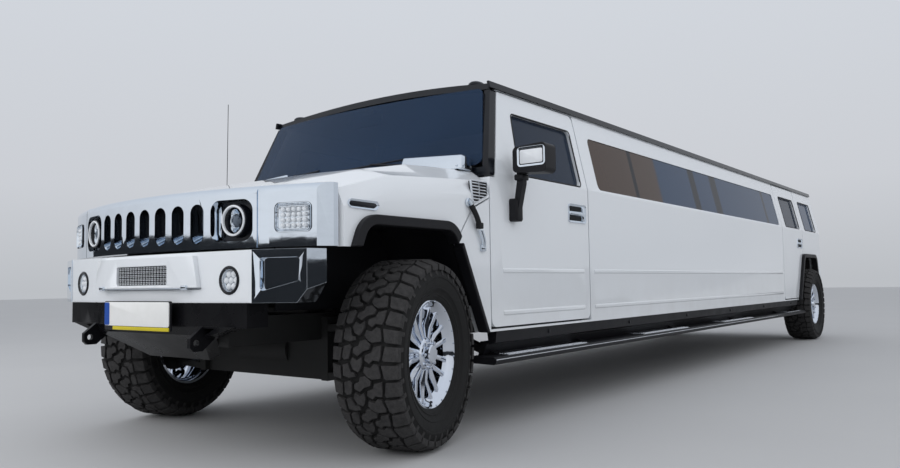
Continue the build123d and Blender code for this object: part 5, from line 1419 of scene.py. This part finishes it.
# %% Camera
PHOTO_WIDTH, SENSOR = 900, 36
FOCAL_PIXELS = 774.1
CAMERA = Vector((3.273, -2.788 + AXLE_Y, 0.764))
YAW, TILT, ROLL = radians(36.96), radians(3.65), radians(-0.84)
forward = Vector((-sin(YAW) * cos(TILT), cos(YAW) * cos(TILT), sin(TILT)))
level = Vector((cos(YAW), sin(YAW), 0))
upright = level.cross(forward)
right = cos(ROLL) * level + sin(ROLL) * upright
up = -sin(ROLL) * level + cos(ROLL) * upright
camera_data = bpy.data.cameras.new("camera")
camera_data.sensor_width = SENSOR
camera_data.lens = FOCAL_PIXELS / PHOTO_WIDTH * SENSOR
camera_data.clip_end = 200
camera = bpy.data.objects.new("camera", camera_data)
camera.matrix_world = Matrix((right, up, -forward)).transposed().to_4x4()
camera.location = CAMERA
bpy.context.scene.collection.objects.link(camera)
bpy.context.scene.camera = camera
print("lens", round(camera_data.lens, 2), "mm")

# %% [markdown]
# The studio has a plain pale floor, and later some flags. These are no part of the vehicle, so they are
# made as plain objects of the scene, on no body.


# %% Floor
def on_stage(name, shape, finish):
    """Object of the studio."""
    mesh = bpy.data.meshes.new(name)
    shape.to_mesh(mesh)
    shape.free()
    mesh.materials.append(finish.material)
    made = bpy.data.objects.new(name, mesh)
    bpy.context.scene.collection.objects.link(made)
    return made


FLOOR_HALF = 60.0
floor_finish = Finish("floor", roughness=0.75)
cloud = floor_finish.noise(0.6, 3.0)
floor_finish.set("Base Color", floor_finish.mix(cloud, (0.46, 0.46, 0.465), (0.50, 0.50, 0.50)))
ground = bmesh.new()
bmesh.ops.create_grid(ground, x_segments=1, y_segments=1, size=FLOOR_HALF)
on_stage("floor", ground, floor_finish)

# %% [markdown]
# The world. What lights the body evenly is one plain grey. What the camera, the chrome and the glass see is
# a sky that grows lighter upwards, and lighter still ahead of the vehicle. The kind of ray tells the two
# apart, and neither is stronger than 1, so nothing bleaches.

# %% World
EVEN_LIGHT, SKY_AHEAD = (0.70, 0.73, 0.78), (0.96, 0.975, 1.0)
SKY = [(0.0, (0.50, 0.52, 0.55)), (0.12, (0.60, 0.62, 0.66)), (0.5, (0.67, 0.71, 0.77)),
       (1.0, (0.72, 0.76, 0.83))]
AHEAD_SHARE = 0.75

world = bpy.data.worlds.new("studio")
bpy.context.scene.world = world
world.use_nodes = True
studio = Recipe(world.node_tree)
direction = studio.node("TexCoord")
lift = studio.node("SeparateXYZ", None, {"Vector": direction}, "Z")
along = studio.node("SeparateXYZ", None, {"Vector": direction}, "Y")
fade = studio.node("ValToRGB", {"ramp": SKY}, {"Fac": lift})
sky = studio.mix(studio.ramp(along, 0.1, -0.9) * AHEAD_SHARE, fade, SKY_AHEAD)
camera_ray, glossy_ray, through_ray = (
    studio.node("LightPath", output=kind)
    for kind in ("Is Camera Ray", "Is Glossy Ray", "Is Transmission Ray")
)
shown = studio.mix(camera_ray | glossy_ray | through_ray, EVEN_LIGHT, sky)
background = world.node_tree.nodes["Background"]
feed(world.node_tree, background.inputs["Color"], shown)
feed(world.node_tree, background.inputs["Strength"], 1.0)
bpy.context.scene.view_settings.view_transform = "Standard"
print("world nodes:", len(world.node_tree.nodes))

# %% [markdown]
# Chrome only looks like metal when it has something dark to reflect. Three low dark flags stand round the
# vehicle, as a photographer would set them. Only reflections see them, so they are in no view.

# %% Flags
flag_finish = Finish("flag", roughness=0.9)
flag_finish.set("Base Color", (0.02, 0.022, 0.025))

for name, place, turn, size in [
    ("front_flag", (-9.0, AXLE_Y - 8.5), -52, (18, 1.75)),
    ("near_flag", (-0.5, AXLE_Y - 11.0), 0, (7, 1.6)),
    ("side_flag", (12.0, 6.0), 90, (30, 1.25)),
]:
    panel = bmesh.new()
    bmesh.ops.create_grid(panel, x_segments=1, y_segments=1, size=0.5)
    bmesh.ops.scale(panel, vec=(size[0], size[1], 1), verts=panel.verts)
    stand = Matrix.Translation((place[0], place[1], size[1] / 2)) @ Matrix.Rotation(radians(turn), 4, "Z")
    bmesh.ops.transform(panel, matrix=stand @ Matrix.Rotation(radians(90), 4, "X"), verts=panel.verts)
    on_stage(name, panel, flag_finish).visible_camera = False

# %% [markdown]
# Two broad lamps, one over the front and one over the long side, give the soft shadow and the shading of the
# white body. Reflections don't see them, because a lamp adds to the sky behind it and would bleach the
# chrome.

# %% Lamps
for name, place, target, size, power in [
    ("front_lamp", (-3.0, -10.5, 4.6), (0, -4.0, 0.9), (12, 6.5), 380),
    ("side_lamp", (8.0, -1.0, 6.5), (0, 0.5, 1.0), (20, 10), 230),
]:
    light = bpy.data.lights.new(name, "AREA")
    light.shape = "RECTANGLE"
    light.size, light.size_y = size
    light.energy = power
    lamp = bpy.data.objects.new(name, light)
    lamp.visible_camera = False
    lamp.visible_glossy = False
    lamp.location = place
    lamp.rotation_euler = (Vector(target) - Vector(place)).to_track_quat("-Z", "Y").to_euler()
    bpy.context.scene.collection.objects.link(lamp)
    print(name, size, "m", power, "W")
